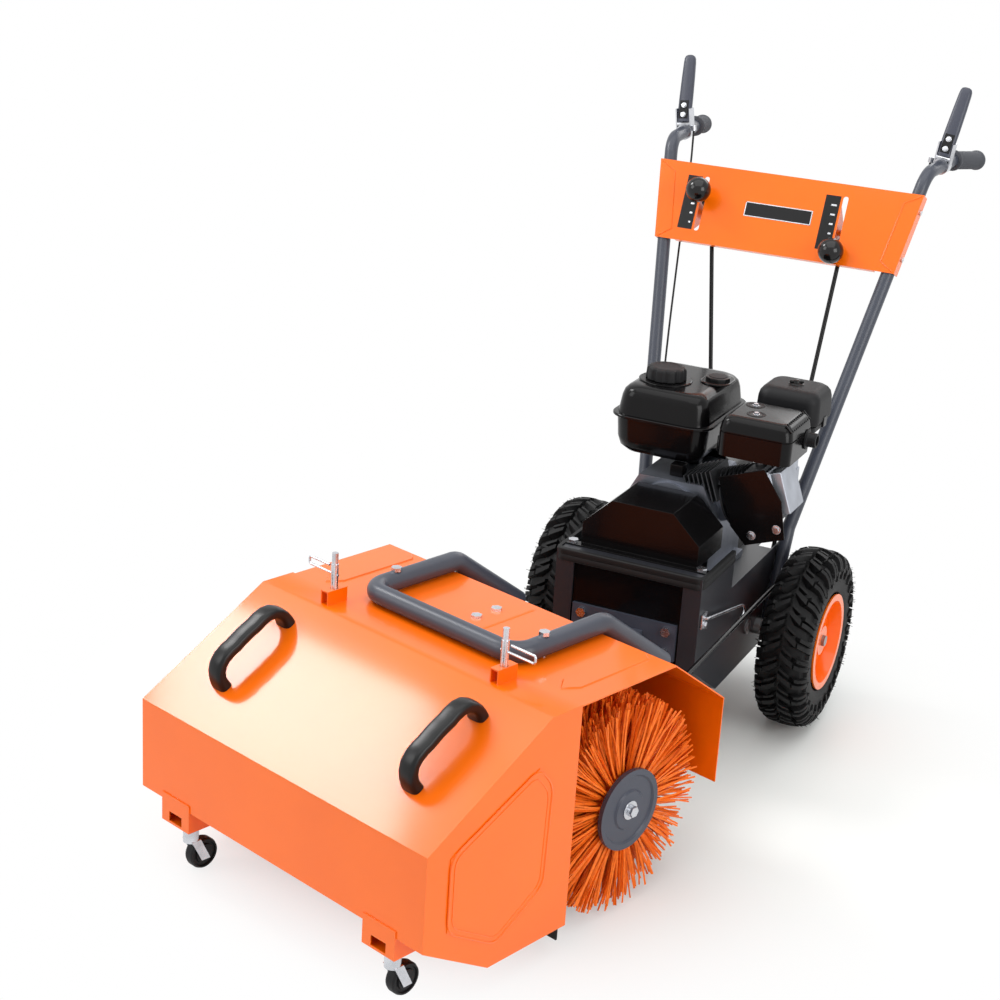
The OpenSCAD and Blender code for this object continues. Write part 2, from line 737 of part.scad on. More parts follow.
module gearbox_housing() {
  case_y = -brush_y;
  column_w = case_w - case_wall;
  color("slategray") head() difference() {
    union() {
      along_x(-case_w / 2, case_w / 2, case_r, case_y, brush_z);
      box([-column_w / 2, case_y - worm_l, drive_z], [column_w / 2, case_y + worm_l / 2, column_top_z]);
      box([-pad_w / 2, flange_bolts_y[0] - bolt_head_r * 2, column_top_z - flange_t],
        [pad_w / 2, case_y + bolt_head_r * 2, column_top_z]);
      along_y(case_y - worm_l, -beam_near_y - beam_t, neck_r, drive_z);
      box([-lug_r * 2, -hood_rear_y + seat, drive_z - yoke_lift - yoke_t],
        [lug_r * 2, -beam_near_y - beam_t + over, drive_z + yoke_lift + yoke_t]);
      for (z = [drive_z + yoke_lift, drive_z - yoke_lift - yoke_t]) translate([0, 0, z]) {
        cylinder(r = lug_r, h = yoke_t);
        box([-lug_r, -hood_rear_y + seat, 0], [lug_r, 0, yoke_t]);
      }
      box([-beam_l / 2, -beam_near_y - beam_t, beam_top_z - beam_h], [beam_l / 2, -beam_near_y, beam_top_z]);
      translate([0, 0, beam_top_z - beam_h]) linear_extrude(link_arm_t)
        polygon([[lug_r, -beam_near_y - beam_t], [lug_r, -beam_near_y], [link_arm_end - lug_r, lug_r],
          [link_arm_end, lug_r], [link_arm_end, -lug_r], [beam_l / 2, -beam_near_y - beam_t]]);
    }
    along_x(-case_w, case_w, brush_shaft_r + run, case_y, brush_z);
    along_x(-wheel_w / 2 - gap, wheel_w / 2 + gap, wheel_r + gap, case_y, brush_z);
    along_y(case_y - worm_l / 2 - gap, case_y + worm_l / 2 + gap, worm_r + gap, drive_z);
    along_y(case_y - worm_l - over, over, shaft_r + run, drive_z);
    for (y = flange_bolts_y)
      upright([0, y], column_top_z - flange_t - over, column_top_z + over, bolt_r + seat);
    upright([0, 0], -over, head_top_z, king_r + run);
    translate([0, 0, beam_top_z - beam_h])
      slot([link_arm_x - link_slot_in / 2, 0], [link_arm_x + link_slot_in, 0], link_slot_r, link_arm_t);
  }
}

module latch_pins() {
  color("silver") head() both_sides() difference() {
    union() {
      upright([pin_x, -pin_y], hood_z - sheet_t, head_top_z + pin_rise - pin_end_l, pin_d / 2);
      upright([pin_x, -pin_y], hood_z, head_top_z + pin_rise, pin_d / 2 - pin_step);
      upright([pin_x, -pin_y], hood_z - 3 * sheet_t, hood_z - sheet_t, pin_d);
    }
    along_x(pin_x - pin_d, pin_x + pin_d, clip_r + run, -pin_y, clip_z);
  }
}

module r_clip(side) {
  color("lightgray") head() sided(side) translate([pin_x, -pin_y, clip_z]) {
    along_x(-pin_d / 2 - clip_r, clip_l, clip_r, 0, 0);
    tube([[clip_l, 0, 0], [clip_l + clip_bow, 0, 0], [clip_l + clip_bow, 0, clip_bow],
      [pin_d, 0, clip_bow]], clip_r, clip_bow / 3);
  }
}
module left_r_clip() { r_clip(-1); }
module right_r_clip() { r_clip(1); }

module bin_shell() {
  edge_d = [sheet_t, sheet_t, sheet_t, -over, sheet_t, sheet_t];
  emboss = [for (s = emboss_points_shares)
    [-bin_front_y + s.x * (bin_front_y - bin_rear_y), bin_low_z + s.y * (head_top_z - bin_low_z)]];
  color("darkorange") head() difference() {
    union() {
      difference() {
        side_prism(bin_outline, -bin_w / 2, bin_w / 2);
        side_prism(inset(bin_outline, edge_d), -bin_w / 2 + sheet_t, bin_w / 2 - sheet_t);
      }
      both_sides() {
        side_prism(emboss, bin_w / 2 - over, bin_w / 2 + emboss_rise);
        latch_bracket();
        castor_bracket();
      }
    }
    both_sides() {
      upright([pin_x, -pin_y], hood_z, head_top_z + latch_h + over, pin_d / 2 + gap);
      upright([castor_x, castor_y], castor_plate_z - 2 * sheet_t, castor_plate_z + sheet_t,
        castor_stem_r + run);
      box([castor_x - castor_window.x / 2, -bin_front_y - sheet_t - over, castor_plate_z + sheet_t],
        [castor_x + castor_window.x / 2, -bin_front_y + over, castor_plate_z + sheet_t + castor_window.y]);
    }
  }
}
module latch_bracket() {
  translate([pin_x, -pin_y, head_top_z]) difference() {
    box([-latch_w / 2, -latch_l / 2, 0], [latch_w / 2, latch_l / 2, latch_h]);
    box([-latch_w / 2 + sheet_t, -latch_l, -over], [latch_w / 2 - sheet_t, latch_l, latch_h - sheet_t]);
  }
}
module castor_bracket() {
  outline = [[-bin_front_y - sheet_t, castor_plate_z - sheet_t],
    [-bin_front_y - sheet_t, bin_front_low_z + castor_tab], [-bin_front_y, bin_front_low_z + castor_tab],
    [-bin_front_y, castor_plate_z], [castor_y + castor_in, castor_plate_z],
    [castor_y + castor_in, castor_plate_z - sheet_t]];
  cheek = [[-bin_front_y, castor_plate_z], [-bin_front_y, bin_front_low_z],
    [castor_y + castor_in, castor_plate_z]];
  side_prism(outline, castor_x - castor_bracket_w / 2, castor_x + castor_bracket_w / 2);
  for (x = [castor_x - castor_bracket_w / 2, castor_x + castor_bracket_w / 2 - sheet_t])
    side_prism(cheek, x, x + sheet_t);
}

module bin_handles() {
  s = slope_l * handle_mid_share;
  bow_r = (handle_l * handle_l / 4 + handle_h * handle_h) / (2 * handle_h);
  bow_a = asin(handle_l / 2 / bow_r) + handle_bury_a;
  color("black") head() both_sides()
    translate([handle_x, -bin_front_y + s * cos(slope_lean), bin_front_high_z + s * sin(slope_lean) + seat])
    rotate([slope_lean, 0, 0]) rotate([90, 0, 90]) difference() {
      union() {
        translate([0, handle_h - bow_r, 0]) rotate([0, 0, 90 - bow_a])
          rotate_extrude(angle = 2 * bow_a)
          translate([bow_r - handle_t, -handle_w / 2]) square([handle_t, handle_w]);
        for (x = [-handle_l / 2 - handle_lip, handle_l / 2 + handle_lip - handle_foot_l])
          translate([x, 0, -handle_w / 2]) cube([handle_foot_l, handle_foot_t, handle_w]);
      }
      translate([-handle_l, -handle_l, -handle_w]) cube([2 * handle_l, handle_l, 2 * handle_w]);
    }
}

module bin_lip() {
  color("black") head()
    box([-bin_w / 2 + lip_inset, -bin_rear_y - lip_t - over, bin_low_z - lip_drop],
      [bin_w / 2 - lip_inset, -bin_rear_y - over, bin_low_z - seat]);
}

// Castors
module castor_fork(side) {
  leg_x = castor_w / 2 + 2 * gap;
  color("silver") head() sided(side) translate([castor_x, castor_y, 0]) difference() {
    union() {
      upright([0, 0], castor_d, castor_plate_z + sheet_t, castor_stem_r);
      upright([0, 0], castor_plate_z + gap, castor_plate_z + 2 * sheet_t, castor_stem_r * 1.6);
      upright([0, 0], fork_top_z - castor_fork_t, castor_plate_z - sheet_t - gap, leg_x + castor_fork_t);
      both_sides() translate([leg_x, 0, 0]) rotate([90, 0, 90]) linear_extrude(castor_fork_t)
        polygon([[-castor_stem_r, fork_top_z], [leg_x, fork_top_z],
          [castor_trail + 2 * castor_axle_r, castor_d / 2 - 2 * castor_axle_r],
          [castor_trail - 2 * castor_axle_r, castor_d / 2 - 2 * castor_axle_r]]);
      along_x(-leg_x - castor_fork_t, leg_x + castor_fork_t, castor_axle_r, castor_trail, castor_d / 2);
    }
  }
}
module left_castor_fork() { castor_fork(-1); }
module right_castor_fork() { castor_fork(1); }

// Closed outline from one edge and its mirror image
function both_edges(edge) = concat([for (p = edge) [p.x, -p.y]], [for (i = [len(edge) - 1:-1:0]) edge[i]]);
module castor_wheel(side) {
  edge = concat([[castor_axle_r + run, castor_w / 2]],
    [for (s = castor_shares) [castor_d * s.x, castor_w * s.y]]);
  color("black") head() sided(side) translate([castor_x, castor_y + castor_trail, castor_d / 2])
    rotate([0, 90, 0]) rotate_extrude() polygon(both_edges(edge));
}
module left_castor_wheel() { castor_wheel(-1); }
module right_castor_wheel() { castor_wheel(1); }

// Brush
module at_brush() { head() translate([0, -brush_y, brush_z]) children(); }

module brush_shaft() {
  color("silver") at_brush() {
    along_x(-brush_l / 2, brush_l / 2, brush_shaft_r, 0, 0);
    both_sides() translate([brush_l / 2, 0, 0]) rotate([0, 90, 0])
      cylinder(r = bolt_head_r, h = bolt_head_h, $fn = 6);
  }
}

module worm_wheel() {
  color("goldenrod") at_brush() rotate([0, 90, 0]) rotate_extrude() difference() {
    translate([brush_shaft_r + run, -wheel_w / 2]) square([wheel_r - brush_shaft_r - run, wheel_w]);
    translate([worm_lift, 0]) circle(worm_r + gap);
  }
}

module bristles(side) {
  inner = case_w / 2 + core_gap;
  outer = brush_l / 2 - end_disc_t - seat;
  step = (outer - inner) / strands_along;
  color("orangered") at_brush() sided(side) {
    difference() {
      along_x(inner, outer, core_d / 2, 0, 0);
      along_x(inner - over, outer + over, brush_shaft_r + run, 0, 0);
    }
    for (i = [0:strands_along - 1], k = [0:strands_around - 1])
      rotate([360 / strands_around * (k + i / 2 % 1), 0, 0])
        translate([inner + step * (i + 0.5), 0, core_d / 2 - strand_d])
        cylinder(d = strand_d, $fn = 3,
          h = brush_r - core_d / 2 + strand_d - strand_ragged * abs(sin(k * 77 + i * 131)));
  }
}
module left_bristles() { bristles(-1); }
module right_bristles() { bristles(1); }

module brush_end_discs() {
  disc_r = end_disc_d / 2;
  color("darkslategray") at_brush() both_sides() translate([brush_l / 2 - end_disc_t, 0, 0])
    rotate([0, 90, 0]) rotate_extrude() polygon(concat([[brush_shaft_r + run, 0], [disc_r, 0],
      [disc_r, end_disc_t]], [for (s = disc_shares) [disc_r * s.x, end_disc_t * s.y]],
      [[brush_shaft_r + run, end_disc_t]]));
}

module worm_shaft() {
  color("gray") head() difference() {
    union() {
      along_y(-brush_y - worm_l + over, -ball_r, shaft_r, drive_z);
      along_y(-brush_y - worm_l / 2, -brush_y + worm_l / 2, worm_r, drive_z);
      translate([0, 0, drive_z]) sphere(cup_r);
    }
    translate([0, 0, drive_z]) sphere(ball_r + gap);
    box([-cup_r - over, 0, drive_z - cup_r - over], [cup_r + over, cup_r + over, drive_z + cup_r + over]);
  }
}

// Chassis
module chassis_frame() {
  inner = half_w - plate_t;
  color("dimgray") place() difference() {
    union() {
      both_sides() {
        side_prism(side_outline, inner, half_w);
        box([inner - front_flange_w, -chassis_front_y, nose_low_z],
          [half_w, -chassis_front_y + plate_t, box_top_z]);
      }
      side_prism(band([[-chassis_front_y, nose_low_z], [nose_low_y, chassis_low_z],
        [chassis_rear_y, chassis_low_z]], -plate_t), -inner - over, inner + over);
      box([-inner - over, step_y + seat, deck_z - plate_t], [inner + over, chassis_rear_y, deck_z]);
      box([-inner - over, bearing_plate_y, chassis_low_z], [inner + over, bearing_plate_y + plate_t, deck_z]);
      box([-inner - over, -chassis_front_y, box_top_z - plate_t], [inner + over, cover_front_y, box_top_z]);
      box([-inner - over, chassis_rear_y - plate_t, chassis_low_z],
        [inner + over, chassis_rear_y, chassis_low_z + rear_sill_h]);
      box([fork_pivot_x - hanger_w / 2, chassis_rear_y - hanger_t, fork_pivot_z - hanger_w / 2],
        [fork_pivot_x + hanger_w / 2, chassis_rear_y, deck_z]);
    }
    both_sides() {
      along_x(inner - over - front_flange_w, half_w + over, bush_hole(axle_r), 0, axle_z);
      along_x(inner - over, half_w + over, bush_hole(cross_r), cross_y, cross_z);
    }
    along_x(inner - over, half_w + over, crank_pin_r + run, bell_pivot.x, bell_pivot.y);
    along_y(bearing_plate_y - over, bearing_plate_y + plate_t + over, bush_hole(disc_shaft_r), cross_z);
    translate([fork_pivot_x, 0, 0])
      along_y(chassis_rear_y - hanger_t - over, chassis_rear_y + over, crank_pin_r + run, fork_pivot_z);
    box([deck_notch_x, deck_notch_y, deck_z - plate_t - over], [inner, chassis_rear_y + over, deck_z + over]);
  }
}
function bush_hole(r) = r + bush_wall + run;

module bush(r, l, flange = bush_flange_w) {
  rotate([0, 90, 0]) rotate_extrude() polygon([[r + run, 0], [r + bush_wall + flange, 0],
    [r + bush_wall + flange, bush_flange_t], [r + bush_wall, bush_flange_t],
    [r + bush_wall, l], [r + run, l]]);
}
module shaft_bearings() {
  inner = half_w - plate_t;
  color("gray") place() {
    both_sides() {
      translate([inner - bush_flange_t - seat, 0, axle_z]) bush(axle_r, bush_l);
      translate([inner - bush_flange_t - seat, cross_y, cross_z]) bush(cross_r, bush_l / 2);
    }
    translate([0, bearing_plate_y + plate_t + bush_flange_t + seat, cross_z]) rotate([0, 0, -90])
      bush(disc_shaft_r, bush_l);
    translate([0, front_panel_y + front_panel_t + bush_flange_t + seat, drive_z]) rotate([0, 0, -90])
      bush(shaft_r, bush_l / 2, gap);
  }
}

module front_cover() {
  half = half_w - plate_t - seat;
  color("black") place() difference() {
    box([-half, front_panel_y, nose_low_z + plate_t * 2], [half, front_panel_y + front_panel_t,
      box_top_z - plate_t - seat]);
    along_y(front_panel_y - over, front_panel_y + front_panel_t + over, bush_hole(shaft_r), drive_z);
    boom_bolt_places() along_y(front_panel_y - over, front_panel_y + front_panel_t + over, bolt_r + seat, 0);
  }
}
module boom_bolt_places() {
  for (x = [-1, 1], z = [-1, 1])
    translate([x * (boom_flange_half_w - 2 * bolt_head_r), 0,
      drive_z + boom_up + z * (boom_flange_h / 2 - 1.5 * bolt_head_r)])
      children();
}

module swivel_boom() {
  low = drive_z - lug_low - lug_t;
  color("dimgray") place() difference() {
    union() {
      for (z = [low, drive_z + lug_low]) translate([0, -pivot_d, z]) {
        cylinder(r = lug_r, h = lug_t);
        box([-lug_r, 0, 0], [lug_r, pivot_d + boom_neck_y, lug_t]);
      }
      upright([0, -pivot_d], drive_z + lug_low, drive_z + yoke_lift + yoke_t + over, king_r);
      upright([0, -pivot_d], drive_z - yoke_lift - yoke_t - over, low + over, king_r);
      for (z = [low, drive_z + lug_low])
        box([-boom_half_w, boom_neck_y - over, z], [boom_half_w, boom_wall_y, z + lug_t]);
      both_sides() box([boom_half_w - boom_wall, boom_neck_y - over, low],
        [boom_half_w, boom_wall_y, drive_z + lug_low + lug_t]);
      box([-boom_half_w, boom_plate_y, low],
        [boom_half_w, boom_plate_y + boom_wall, drive_z + lug_low + over]);
      box([-boom_flange_half_w, boom_rear_y - boom_wall, drive_z + boom_up - boom_flange_h / 2],
        [boom_flange_half_w, boom_rear_y, drive_z + boom_up + boom_flange_h / 2]);
    }
    along_y(boom_plate_y - over, boom_plate_y + boom_wall + over, shaft_r + run, drive_z);
    along_y(boom_rear_y - boom_wall - over, boom_rear_y + over, bush_hole(shaft_r) + gap, drive_z);
    boom_bolt_places() along_y(boom_rear_y - boom_wall - over, boom_rear_y + over, bolt_r + seat, 0);
  }
}

module belt_cover() {
  outline = [[-cover_half_w, box_top_z + seat], [-cover_half_w, cover_shoulder_z],
    [-cover_top_half_w, cover_top_z],
    [cover_top_half_w, cover_top_z], [cover_half_w, cover_shoulder_z], [cover_half_w, box_top_z + seat]];
  inside = inset(outline, [sheet_t, sheet_t, sheet_t, sheet_t, sheet_t, -over]);
  color("black") place() difference() {
    union() {
      front_prism(outline, cover_front_y, cover_rear_y);
      box([-half_w, cover_front_y - cover_lip, box_top_z + seat],
        [half_w, cover_front_y + sheet_t, box_top_z + seat + sheet_t]);
    }
    front_prism(inside, cover_front_y + sheet_t, cover_rear_y + over);
    both_sides() upright([cover_bolt_x, cover_front_y - cover_lip / 2], box_top_z - over, cover_top_z, bolt_r);
  }
}

module chassis_bolts() {
  color("silver") place() {
    both_sides() {
      translate([cover_bolt_x, cover_front_y - cover_lip / 2, 0])
        bolt_down([0, 0], box_top_z + 2 * seat + sheet_t, sheet_t);
      at_panel() for (s = panel_bolt_shares)
        translate([panel_half(s * panel_h) + sheet_t + seat, s * panel_h, 0]) rotate([0, 0, -panel_splay])
        rotate([0, 90, 0]) cylinder(r = bolt_r, h = bolt_head_h / 2);
    }
    boom_bolt_places() rotate([-90, 0, 0]) translate([0, 0, boom_rear_y - boom_wall - bolt_head_h - seat]) {
      cylinder(r = bolt_head_r, h = bolt_head_h, $fn = 6);
      cylinder(r = bolt_r, h = bolt_head_h + boom_wall + front_panel_t + nut_h);
    }
  }
}

// Drive train
module pulley(r, bore) {
  rotate([90, 0, 0]) rotate_extrude() polygon([[bore, -pulley_w / 2], [r, -pulley_w / 2],
    [r, -pulley_w / 2 + pulley_lip], [r - groove_depth, -pulley_w / 2 + pulley_lip],
    [r - groove_depth, pulley_w / 2 - pulley_lip], [r, pulley_w / 2 - pulley_lip], [r, pulley_w / 2],
    [bore, pulley_w / 2]]);
}

module crankshaft() {
  color("gray") place() {
    along_y(brush_pulley_y - pulley_w, flywheel_y + flywheel_t + over, shaft_r, crank_z);
    for (y = [brush_pulley_y, disc_pulley_y]) translate([0, y, crank_z])
      pulley(crank_pulley_d / 2, shaft_r - over);
    along_y(flywheel_y, flywheel_y + flywheel_t, flywheel_r, crank_z);
  }
}

module belt(y, low_z, low_r) {
  width = pulley_w - 2 * pulley_lip - 2 * gap;
  inner_low = low_r - groove_depth + gap;
  inner_high = crank_pulley_d / 2 - groove_depth + gap;
  translate([0, y + width / 2, low_z]) rotate([90, 0, 0]) linear_extrude(width) difference() {
    polygon(loop(inner_low + belt_t, inner_high + belt_t, crank_z - low_z));
    polygon(loop(inner_low, inner_high, crank_z - low_z));
  }
}
module drive_belts() {
  color("black") place() {
    belt(brush_pulley_y, drive_z, brush_pulley_d / 2);
    belt(disc_pulley_y, cross_z, disc_pulley_d / 2);
  }
}

module brush_drive_shaft() {
  color("gray") place() {
    translate([0, -pivot_d, drive_z]) sphere(ball_r);
    along_y(-pivot_d, -pivot_d + cup_r, neck_shaft_r, drive_z);
    along_y(-pivot_d + cup_r, brush_pulley_y + pulley_w / 2 + over, shaft_r, drive_z);
    translate([0, brush_pulley_y, drive_z]) pulley(brush_pulley_d / 2, shaft_r - over);
  }
}

module drive_disc() {
  color("gray") place() {
    along_y(disc_pulley_y - pulley_w / 2 - over, disc_y - over, disc_shaft_r, cross_z);
    translate([0, disc_pulley_y, cross_z]) pulley(disc_pulley_d / 2, disc_shaft_r - over);
    along_y(disc_y - drive_disc_t, disc_y, drive_disc_d / 2, cross_z);
  }
}

module friction_wheel() {
  side = friction_w / 2;
  color("firebrick") place() translate([-friction_rest, cross_y, cross_z]) rotate([0, 90, 0]) rotate_extrude()
    polygon([[cross_r + run, -side], [friction_r, -side], [friction_r, side], [collar_hub_r, side],
      [collar_hub_r, side + groove_w], [collar_flange_r, side + groove_w],
      [collar_flange_r, side + groove_w + collar_flange_w],
      [cross_r + run, side + groove_w + collar_flange_w]]);
}

// Outline of a spur gear with straight flanks, thinned for backlash
function gear_outline(teeth) = let (r = gear_module * teeth / 2, p = 360 / teeth)
  [for (i = [0:teeth - 1], s = gear_flank_shares)
    (r + s.y * gear_module) * [cos(p * (i + s.x)), sin(p * (i + s.x))]];
module gear(teeth) {
  rotate([90, 0, 90]) linear_extrude(gear_w) polygon(gear_outline(teeth));
}

module cross_shaft() {
  mesh_a = atan2(axle_z - cross_z, -cross_y);
  color("gray") place() translate([0, cross_y, cross_z]) {
    along_x(-half_w - cross_out, half_w + cross_out, cross_r, 0, 0);
    translate([gear_x, 0, 0]) rotate([mesh_a, 0, 0]) gear(pinion_teeth);
  }
}

module drive_axle() {
  mesh_a = atan2(cross_z - axle_z, cross_y);
  color("gray") place() translate([0, 0, axle_z]) {
    along_x(-axle_half_l, axle_half_l, axle_r, 0, 0);
    translate([gear_x, 0, 0]) rotate([mesh_a + 180 / gear_teeth, 0, 0]) gear(gear_teeth);
  }
}

// Wheels
module wheel_rims() {
  in_x = wheel_x - bead_w / 2;
  out_x = wheel_x + hub_out;
  color("darkorange") place() both_sides() translate([0, 0, axle_z]) rotate([0, 90, 0]) rotate_extrude()
    polygon([[axle_r + run, in_x], [hub_r, in_x], [hub_r, wheel_x],
      [rim_r * rim_shares[0], wheel_x + bead_w * web_shares[0]],
      [rim_r * rim_shares[1], in_x], [rim_r, in_x], [rim_r, in_x + rim_t],
      [rim_r * rim_shares[2], in_x + rim_t * 2],
      [rim_r * rim_shares[2], out_x - rim_t * 3], [rim_r, out_x - rim_t], [rim_r, out_x],
      [rim_r * rim_shares[1], out_x], [rim_r * rim_shares[0], wheel_x + bead_w * web_shares[1]],
      [hub_r + rim_t, wheel_x + bead_w * web_shares[0]], [hub_r + rim_t, out_x - rim_t * 4],
      [axle_r + run, out_x - rim_t * 4]]);
}

module tyres() {
  half = tyre_w / 2;
  crown = tyre_r - lug_depth;
  bead = rim_r + gap;
  edge = concat([[bead, half * bead_shares[0]], [bead + rim_t, half * bead_shares[1]]],
    [for (s = wall_shares) [crown * s.x, half * s.y]]);
  color("black") place() both_sides() translate([wheel_x, 0, axle_z]) rotate([0, 90, 0]) {
    rotate_extrude() polygon(both_edges(edge));
    intersection() {
      cylinder(r = tyre_r, h = tyre_w, center = true);
      for (i = [0:lug_count - 1], s = [-1, 1]) rotate([0, 0, 360 / lug_count * (i + (s + 1) / 4)])
        translate([crown * 0.84, 0, s * half * lug_mid_share]) rotate([s * lug_skew, 0, 0])
        translate([0, -lug_l / 2, -half * lug_w_share / 2]) cube([tyre_r * 0.3, lug_l, half * lug_w_share]);
    }
  }
}

// Engine
module hollow_box(low, high, wall) {
  difference() {
    box(low, high);
    box(low + [wall, wall, wall], high - [wall, wall, wall]);
  }
}

module crankcase() {
  color("silver") place() difference() {
    union() {
      front_prism(case_outline, case_front_y, case_rear_y);
      both_sides() box([0, case_front_y + case_foot_in, deck_z + seat],
        [case_half_w + case_foot_out, case_rear_y - case_foot_in, deck_z + case_foot_t]);
      along_y(case_front_y - pto_boss, case_front_y + over, pto_boss_r, crank_z);
      at_cylinder() cylinder(r = cylinder_bore / 2 + barrel_wall, h = head_at - seat);
    }
    front_prism(inset(case_outline, [for (e = case_outline) case_t]),
      case_front_y + case_t, case_rear_y - case_t);
    at_cylinder() cylinder(r = cylinder_bore / 2, h = head_at + over);
    along_y(case_front_y - pto_boss - over, case_rear_y + over, shaft_r + run, crank_z);
  }
}
module at_cylinder() { translate([0, cylinder_y, crank_z]) rotate([0, 90 - cylinder_lean, 0]) children(); }

// Barrel fins and the cylinder head
module cylinder_head() {
  half = fin_r * head_share;
  color("darkgray") place() difference() {
    at_cylinder() {
      for (i = [0:fin_count - 1]) translate([0, 0, fins_at + i * fin_step]) difference() {
        cylinder(r = fin_r, h = fin_t);
        translate([0, 0, -over]) cylinder(r = cylinder_bore / 2 + barrel_wall + run, h = fin_t + 2 * over);
      }
      for (a = [45:90:315]) rotate([0, 0, a])
        translate([cylinder_bore / 2 + barrel_wall + bolt_r + gap, 0, fins_at])
        cylinder(r = bolt_r, h = head_at - fins_at + over);
      box([-half, -half, head_at], [half, half, head_at + head_t]);
    }
    box([-case_half_w - seat, case_front_y - over, deck_z],
      [case_half_w + seat, case_rear_y + over, case_top_z + seat]);
  }
}

module rocker_cover() {
  half = fin_r * 0.72;
  color("silver") place() at_cylinder() difference() {
    union() {
      box([-half, -half, head_at + head_t + seat], [half, half, head_at + head_t + rocker_t]);
      box([-half - rocker_lip, -half - rocker_lip, head_at + head_t + seat],
        [half + rocker_lip, half + rocker_lip, head_at + head_t + rocker_lip]);
    }
    box([-half + case_t, -half + case_t, head_at],
      [half - case_t, half - case_t, head_at + head_t + rocker_t - case_t]);
  }
}

module blower_housing() {
  color("black") place() difference() {
    union() {
      along_y(case_rear_y + seat, blower_rear_y, blower_r, crank_z);
      box([-blower_r, case_rear_y + seat, deck_z + seat], [blower_r, blower_rear_y, crank_z]);
    }
    along_y(case_rear_y + sheet_t, blower_rear_y - sheet_t, blower_r - sheet_t, crank_z);
    along_y(case_rear_y - over, blower_rear_y, shaft_r + gap, crank_z);
    along_y(blower_rear_y - sheet_t - over, blower_rear_y + over, recoil_r * recoil_shares[1], crank_z);
  }
}

module recoil_cover() {
  color("black") place() difference() {
    union() {
      along_y(blower_rear_y + seat, blower_rear_y + recoil_t, recoil_r, crank_z);
      translate([recoil_r * recoil_shares[1], 0, 0]) along_y(blower_rear_y + seat,
        blower_rear_y + recoil_t * recoil_shares[2], eyelet_r * 2, crank_z + recoil_r * recoil_shares[1]);
    }
    along_y(blower_rear_y - over, blower_rear_y + recoil_t - sheet_t, recoil_r - sheet_t, crank_z);
    for (a = [0:30:330]) translate([0, blower_rear_y, crank_z]) rotate([0, a, 0])
      box([recoil_r * recoil_shares[0], recoil_t / 2, -eyelet_r / 2],
        [recoil_r * recoil_shares[2], recoil_t + over, eyelet_r / 2]);
  }
}

module muffler() {
  color("gray") place() {
    hollow_box(muffler_low, muffler_low + muffler_size, sheet_t);
    at_cylinder() translate([-fin_r * head_share - seat - muffler_drop, 0, head_at + head_t / 2])
      rotate([0, 90, 0]) cylinder(r = exhaust_r, h = muffler_drop);
  }
}

module muffler_shield() {
  low = muffler_low - [shield_gap, shield_gap, 0];
  high = muffler_low + muffler_size + [shield_gap, shield_gap, shield_gap];
  span = high - low;
  color("black") place() difference() {
    box(low, high);
    box([low.x + sheet_t, low.y + sheet_t, low.z - over], high - [sheet_t, sheet_t, sheet_t]);
    for (i = [0:shield_slots - 1])
      translate([span.x * (slot_x_shares[0] + slot_x_shares[1] * i / (shield_slots - 1)), 0, 0])
        box([low.x, low.y + span.y * slot_y_shares[0], high.z - 2 * sheet_t],
          [low.x + shield_slot_w, low.y + span.y * slot_y_shares[1], high.z + over]);
  }
}

module carburettor() {
  color("darkgray") place() {
    rod([carb.x, cylinder_y + fin_r, carb.z], [carb.x, carb.y, carb.z], carb_r);
    upright([carb.x, carb.y], carb.z - carb_bowl, carb.z, carb_r * 1.2);
    upright([carb.x, carb.y], carb.z - over, cleaner_low.z - seat, carb_r);
  }
}

module air_cleaner() {
  high = cleaner_low + cleaner_size;
  wall = [2 * cleaner_in, 2 * cleaner_in, sheet_t];
  color("black") place() difference() {
    union() {
      box(cleaner_low, cleaner_low + [cleaner_size.x, cleaner_size.y, cleaner_base_h]);
      box(cleaner_low + [cleaner_in, cleaner_in, 0], high - [cleaner_in, cleaner_in, 0]);
      upright(cleaner_low + cleaner_size / 2, cleaner_low.z, high.z + cleaner_knob_h, cleaner_knob_r);
    }
    box(cleaner_low + wall, high - wall);
    translate(cleaner_low + [0, 0, cleaner_size.z / 2]) for (i = [0:2], s = [0, 1])
      translate([s * cleaner_size.x, cleaner_size.y * (0.25 + 0.2 * i), 0])
      box([-2 * cleaner_in, 0, 0], [2 * cleaner_in, cleaner_size.y * 0.1, cleaner_size.z * 0.2]);
  }
}

module fuel_tank() {
  low = [tank_x, tank_y, tank_top_z - tank_h];
  high = low + [tank_w, tank_l, tank_h];
  seam_z = low.z + tank_h * tank_seam_share;
  color("black") place() difference() {
    union() {
      box(low + [tank_seam, tank_seam, 0], high - [tank_seam, tank_seam, tank_dome]);
      box(low + [2 * tank_seam, 2 * tank_seam, 0], high - [2 * tank_seam, 2 * tank_seam, 0]);
      box([low.x, low.y, seam_z], [high.x, high.y, seam_z + tank_seam / 2]);
      upright(cap_at, tank_top_z - over, tank_top_z + cap_neck_h, cap_neck_r);
      upright(gauge_at, tank_top_z - over, tank_top_z + gauge_h, gauge_r);
      for (s = tank_leg_shares) let (y = case_front_y + s * (case_rear_y - case_front_y))
        box([-tank_leg_w / 2, y, case_top_z + seat], [tank_leg_w / 2, y + tank_leg_w, low.z + over]);
    }
    box(low + [2 * tank_seam + tank_wall, 2 * tank_seam + tank_wall, tank_wall],
      high - [2 * tank_seam + tank_wall, 2 * tank_seam + tank_wall, tank_wall]);
    upright(cap_at, tank_top_z - tank_h / 2, tank_top_z + cap_neck_h + over, cap_neck_r - tank_wall);
  }
}

